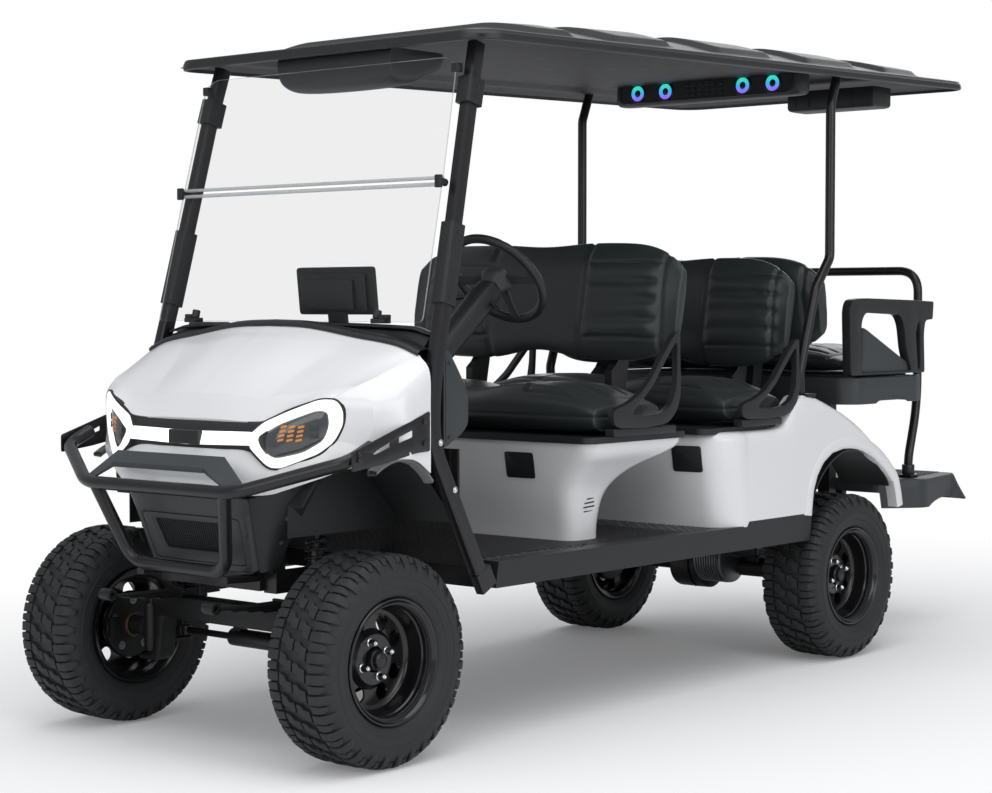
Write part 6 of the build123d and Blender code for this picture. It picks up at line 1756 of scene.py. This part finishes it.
# knuckles: barrel on the kingpin, spindle, brake disc with its coppery ring, caliper and steering arm
BARREL = [(-0.071, 0.0125), (-0.071, 0.022), (-0.064, 0.024), (0.064, 0.024), (0.074, 0.022), (0.074, 0.0125)]
SPINDLE = [(0.012, 0.0001), (0.018, 0.034), (0.040, 0.028), (0.080, 0.026), (0.080, 0.045), (0.086, 0.060),
           (0.086, 0.092), (0.088, 0.098), (0.094, 0.100), (0.106, 0.100), (0.110, 0.097), (0.113, 0.090),
           (0.114, 0.050), (0.114, 0.0001)]
BRAKE_RING = [(0.0815, 0.028), (0.0770, 0.0285), (0.0755, 0.0320), (0.0770, 0.0365), (0.0815, 0.037)]
for name, side in (("left", 1), ("right", -1)):
    knuckle, brake_ring, brake_bolts = Form(), Form(), Form()
    out, mid = RIGHT * side, at(side * KINGPIN_X, 0, HUB_Z)
    knuckle.lathe(BARREL, mid, UP, steps=32)
    knuckle.lathe(SPINDLE, mid, out, steps=56, close=False)
    brake_ring.lathe(BRAKE_RING, mid, out)
    sweep(knuckle, placed([(side * 372, 4, 246), (side * 358, 60, 246), (side * 351, 112, 246)]), 0.030, 0.012, 0.003)
    knuckle.lathe([(-0.006, 0.005), (-0.006, 0.018), (0.006, 0.018), (0.006, 0.005)], at(side * 350, 120, 246), UP,
                  steps=24)
    knuckle.box(at(side * 438, -96, 262), at(side * 462, -62, 322))
    for angle in circle(5):
        reach = Vector((0, math.cos(angle + 0.3), math.sin(angle + 0.3))) * 0.074
        bolt(brake_bolts, mid + out * 0.0865 + reach, -out, 9.0, 5.0)
    body = f"knuckle_{name}"
    knuckle.piece(f"knuckle_cast_{name}", AXLE_GREY, "axle_grey", body, body=body, bevel=0.0012, angle=40)
    brake_ring.piece(f"brake_ring_{name}", COPPER, "axle_grey", body=body, angle=40)
    brake_bolts.piece(f"brake_bolts_{name}", ALLOY, "drive_alloy", body=body)

# rear axle: tube, finned differential housing, motor and brake drums
AXLE = [(-0.46, 0.033), (-0.45, 0.034), (-0.15, 0.034), (-0.13, 0.050), (-0.118, 0.070), (-0.112, 0.089),
        (-0.104, 0.092), (-0.030, 0.092), (-0.030, 0.086), (-0.018, 0.086), (-0.018, 0.092), (0.018, 0.091),
        (0.028, 0.080), (0.040, 0.052), (0.060, 0.036), (0.45, 0.034), (0.46, 0.033), (0.46, 0.004), (-0.46, 0.004)]
MOTOR = [(0.0, 0.060), (0.004, 0.084)] + fins(0.010, 0.011, 9, ((0, 0.088), (0.004, 0.088), (0.005, 0.081),
                                                              (0.009, 0.081))) + [
    (0.114, 0.087), (0.122, 0.085), (0.128, 0.060), (0.129, 0.0001)]
DRUM = [(0.442, 0.034), (0.444, 0.094), (0.446, 0.099)] + fins(0.450, 0.009, 3, ((0, 0.100), (0.003, 0.100),
                                                                               (0.004, 0.095), (0.008, 0.095))) + [
    (0.478, 0.098), (0.479, 0.060), (0.479, 0.024), (0.500, 0.022), (0.500, 0.0001)]
axle, motor = Form(), Form()
hub = at(0, REAR_D, HUB_Z)
axle.lathe(AXLE, hub, RIGHT)
for turn in circle(8, 0.5):
    bolt(axle, hub + Vector((-0.0305, math.cos(turn) * 0.089, math.sin(turn) * 0.089)), RIGHT, 4.5, 6)
motor.lathe(MOTOR, at(30, 2330, 322), RIGHT, close=False)
for side in SIDES:
    axle.lathe(DRUM, hub, RIGHT * side, close=False)
    axle.box(at(side * 188, 2362, 292), at(side * 242, 2418, 338))
axle.piece("rear_axle_cast", AXLE_GREY, "axle_grey", "rear_axle", angle=40)
motor.piece("drive_motor", ALLOY, "drive_alloy", angle=40)

# ---------------------------------------------------------------- what the CAD keeps showing
CAD_FINISH = {
    SATIN_BLACK: ["frame_rails", "front_struts", "rear_roof_posts", "front_bumper", "bumper_plates",
                  "seat_back_brackets", "rear_hoop", "pedals", "steering_gear", "tie_rod"],
    AXLE_GREY: ["front_axle_beam", "front_suspension", "rear_suspension", "knuckle_left", "knuckle_right"],
    ALLOY: ["rear_axle"],
    CHARCOAL: ["power_unit", "cowl_side_guards", "rear_seat_box", "rear_handles", "foot_platform"],
    BLACK_PLASTIC: ["rockers", "front_wheel_liners", "lower_fascia", "dashboard", "overhead_console", "sound_bar",
                    "steering_column", "steering_wheel", "seat_rims", "rear_wheel_liners", "armrests",
                    "rear_seat_deck"],
    ROOF_BLACK: ["roof"],
    WHITE: ["front_cowl", "front_pod", "rear_body"],
    GLOW: ["headlamps"],
    ACRYLIC: ["windscreen_lower", "windscreen_upper"],
    MAT_RUBBER: ["floor_pan"],
    SCREEN: ["display_screen"],
    RED_LENS: ["tail_lamps"],
    VINYL: ["front_seat_cushion", "front_seat_back", "middle_seat_cushion", "middle_seat_back", "rear_seat_cushion",
            "rear_seat_back"],
    RUBBER: ["tyre_front_left", "tyre_front_right", "tyre_rear_left", "tyre_rear_right"],
    RIM_BLACK: ["rim_front_left", "rim_front_right", "rim_rear_left", "rim_rear_right"],
}
for finish, names in CAD_FINISH.items():
    for name in names:
        mesh = nodes[name].data
        mesh.materials.clear()
        mesh.materials.append(finish)

# ---------------------------------------------------------------- studio
PURE_WHITE = (1, 1, 1, 1)
FLOOR_REACH = 30.0


def seen(tree):
    """1 for what the camera sees, also through the clear panes."""
    ray = add_node(tree, "LightPath")
    return add_node(tree, "Math", {0: ray.outputs["Is Camera Ray"], 1: ray.outputs["Is Transmission Ray"]},
                    operation="MAXIMUM").outputs[0]


def finish_tree(tree, lit, shown, kind):
    """Light falls as lit while the camera sees shown."""
    choose = add_node(tree, "MixShader", {0: seen(tree), 1: lit.outputs[0], 2: shown.outputs[0]})
    add_node(tree, kind, {"Surface": choose.outputs[0]})


floor_mesh = bpy.data.meshes.new("studio_floor")
floor_mesh.from_pydata([(a * FLOOR_REACH, b * FLOOR_REACH, 0) for a, b in ((-1, -1), (1, -1), (1, 1), (-1, 1))], [],
                       [(0, 1, 2, 3)])
add_object("studio_floor", floor_mesh)
floor_mat = bpy.data.materials.new("studio_floor")
tree = fresh_tree(floor_mat)
soft = add_node(tree, "BsdfDiffuse", {"Color": (0.90, 0.90, 0.905, 1)})
faint = add_node(tree, "Emission", {"Color": PURE_WHITE, "Strength": 0.09})
both = add_node(tree, "AddShader", {0: soft.outputs[0], 1: faint.outputs[0]})
# away from the cart the floor turns as white as the backdrop
place = add_node(tree, "TexCoord")
flat = add_node(tree, "VectorMath", {0: place.outputs["Object"], 1: (1.0, 0.62, 0.0)}, operation="MULTIPLY")
far = add_node(tree, "VectorMath", {0: flat.outputs["Vector"]}, operation="LENGTH")
fade = add_node(tree, "MapRange", {"From Min": 0.75, "From Max": 3.4, "Value": far.outputs["Value"]},
                interpolation_type="SMOOTHSTEP")
plain = add_node(tree, "Emission", {"Color": PURE_WHITE, "Strength": 1.0})
blend = add_node(tree, "MixShader", {0: fade.outputs["Result"], 1: both.outputs[0], 2: plain.outputs[0]})
finish_tree(tree, soft, blend, "OutputMaterial")
floor_mesh.materials.append(floor_mat)

world = bpy.data.worlds.new("studio")
bpy.context.scene.world = world
tree = fresh_tree(world)
light = add_node(tree, "Background", {"Color": (0.93, 0.95, 1.0, 1), "Strength": 0.42})
backdrop = add_node(tree, "Background", {"Color": PURE_WHITE, "Strength": 1.0})
finish_tree(tree, light, backdrop, "OutputWorld")

# each softbox: place, target, width and height, power
for name, place, target, size, power in (
        ("key_top", (1.5, -2.0, 6.5), (0, 0, 0.8), (7, 7), 250),
        ("front_fill", (2.0, -8.0, 3.2), (0, -0.5, 0.8), (6, 3.5), 105),
        ("side_fill", (8.0, -1.0, 3.0), (0, 0.2, 0.8), (6, 3.5), 125),
        ("rear_rim", (-2.5, 6.5, 4.0), (0, 0, 1.0), (6, 3), 110)):
    data = bpy.data.lights.new(name, "AREA")
    data.shape = "RECTANGLE"
    data.size, data.size_y = size
    data.energy = power
    lamp = add_object(name, data)
    lamp.location = place
    lamp.rotation_euler = (Vector(target) - Vector(place)).to_track_quat("-Z", "Y").to_euler()

# ---------------------------------------------------------------- camera, solved for a 992 x 793 frame
CAMERA_PLACE = (4453.9, -4128.8, 1243.6)
TURN, DIP = math.radians(40.1025), math.radians(2.41374)
camera_data = bpy.data.cameras.new("camera")
camera_data.sensor_width = 36.0
camera_data.lens = 76.55
camera = add_object("camera", camera_data)
camera.location = at(*CAMERA_PLACE)
look = Vector((-math.sin(TURN) * math.cos(DIP), math.cos(TURN) * math.cos(DIP), -math.sin(DIP)))
camera.rotation_euler = look.to_track_quat("-Z", "Y").to_euler()
bpy.context.scene.camera = camera
bpy.context.scene.view_settings.view_transform = "Standard"
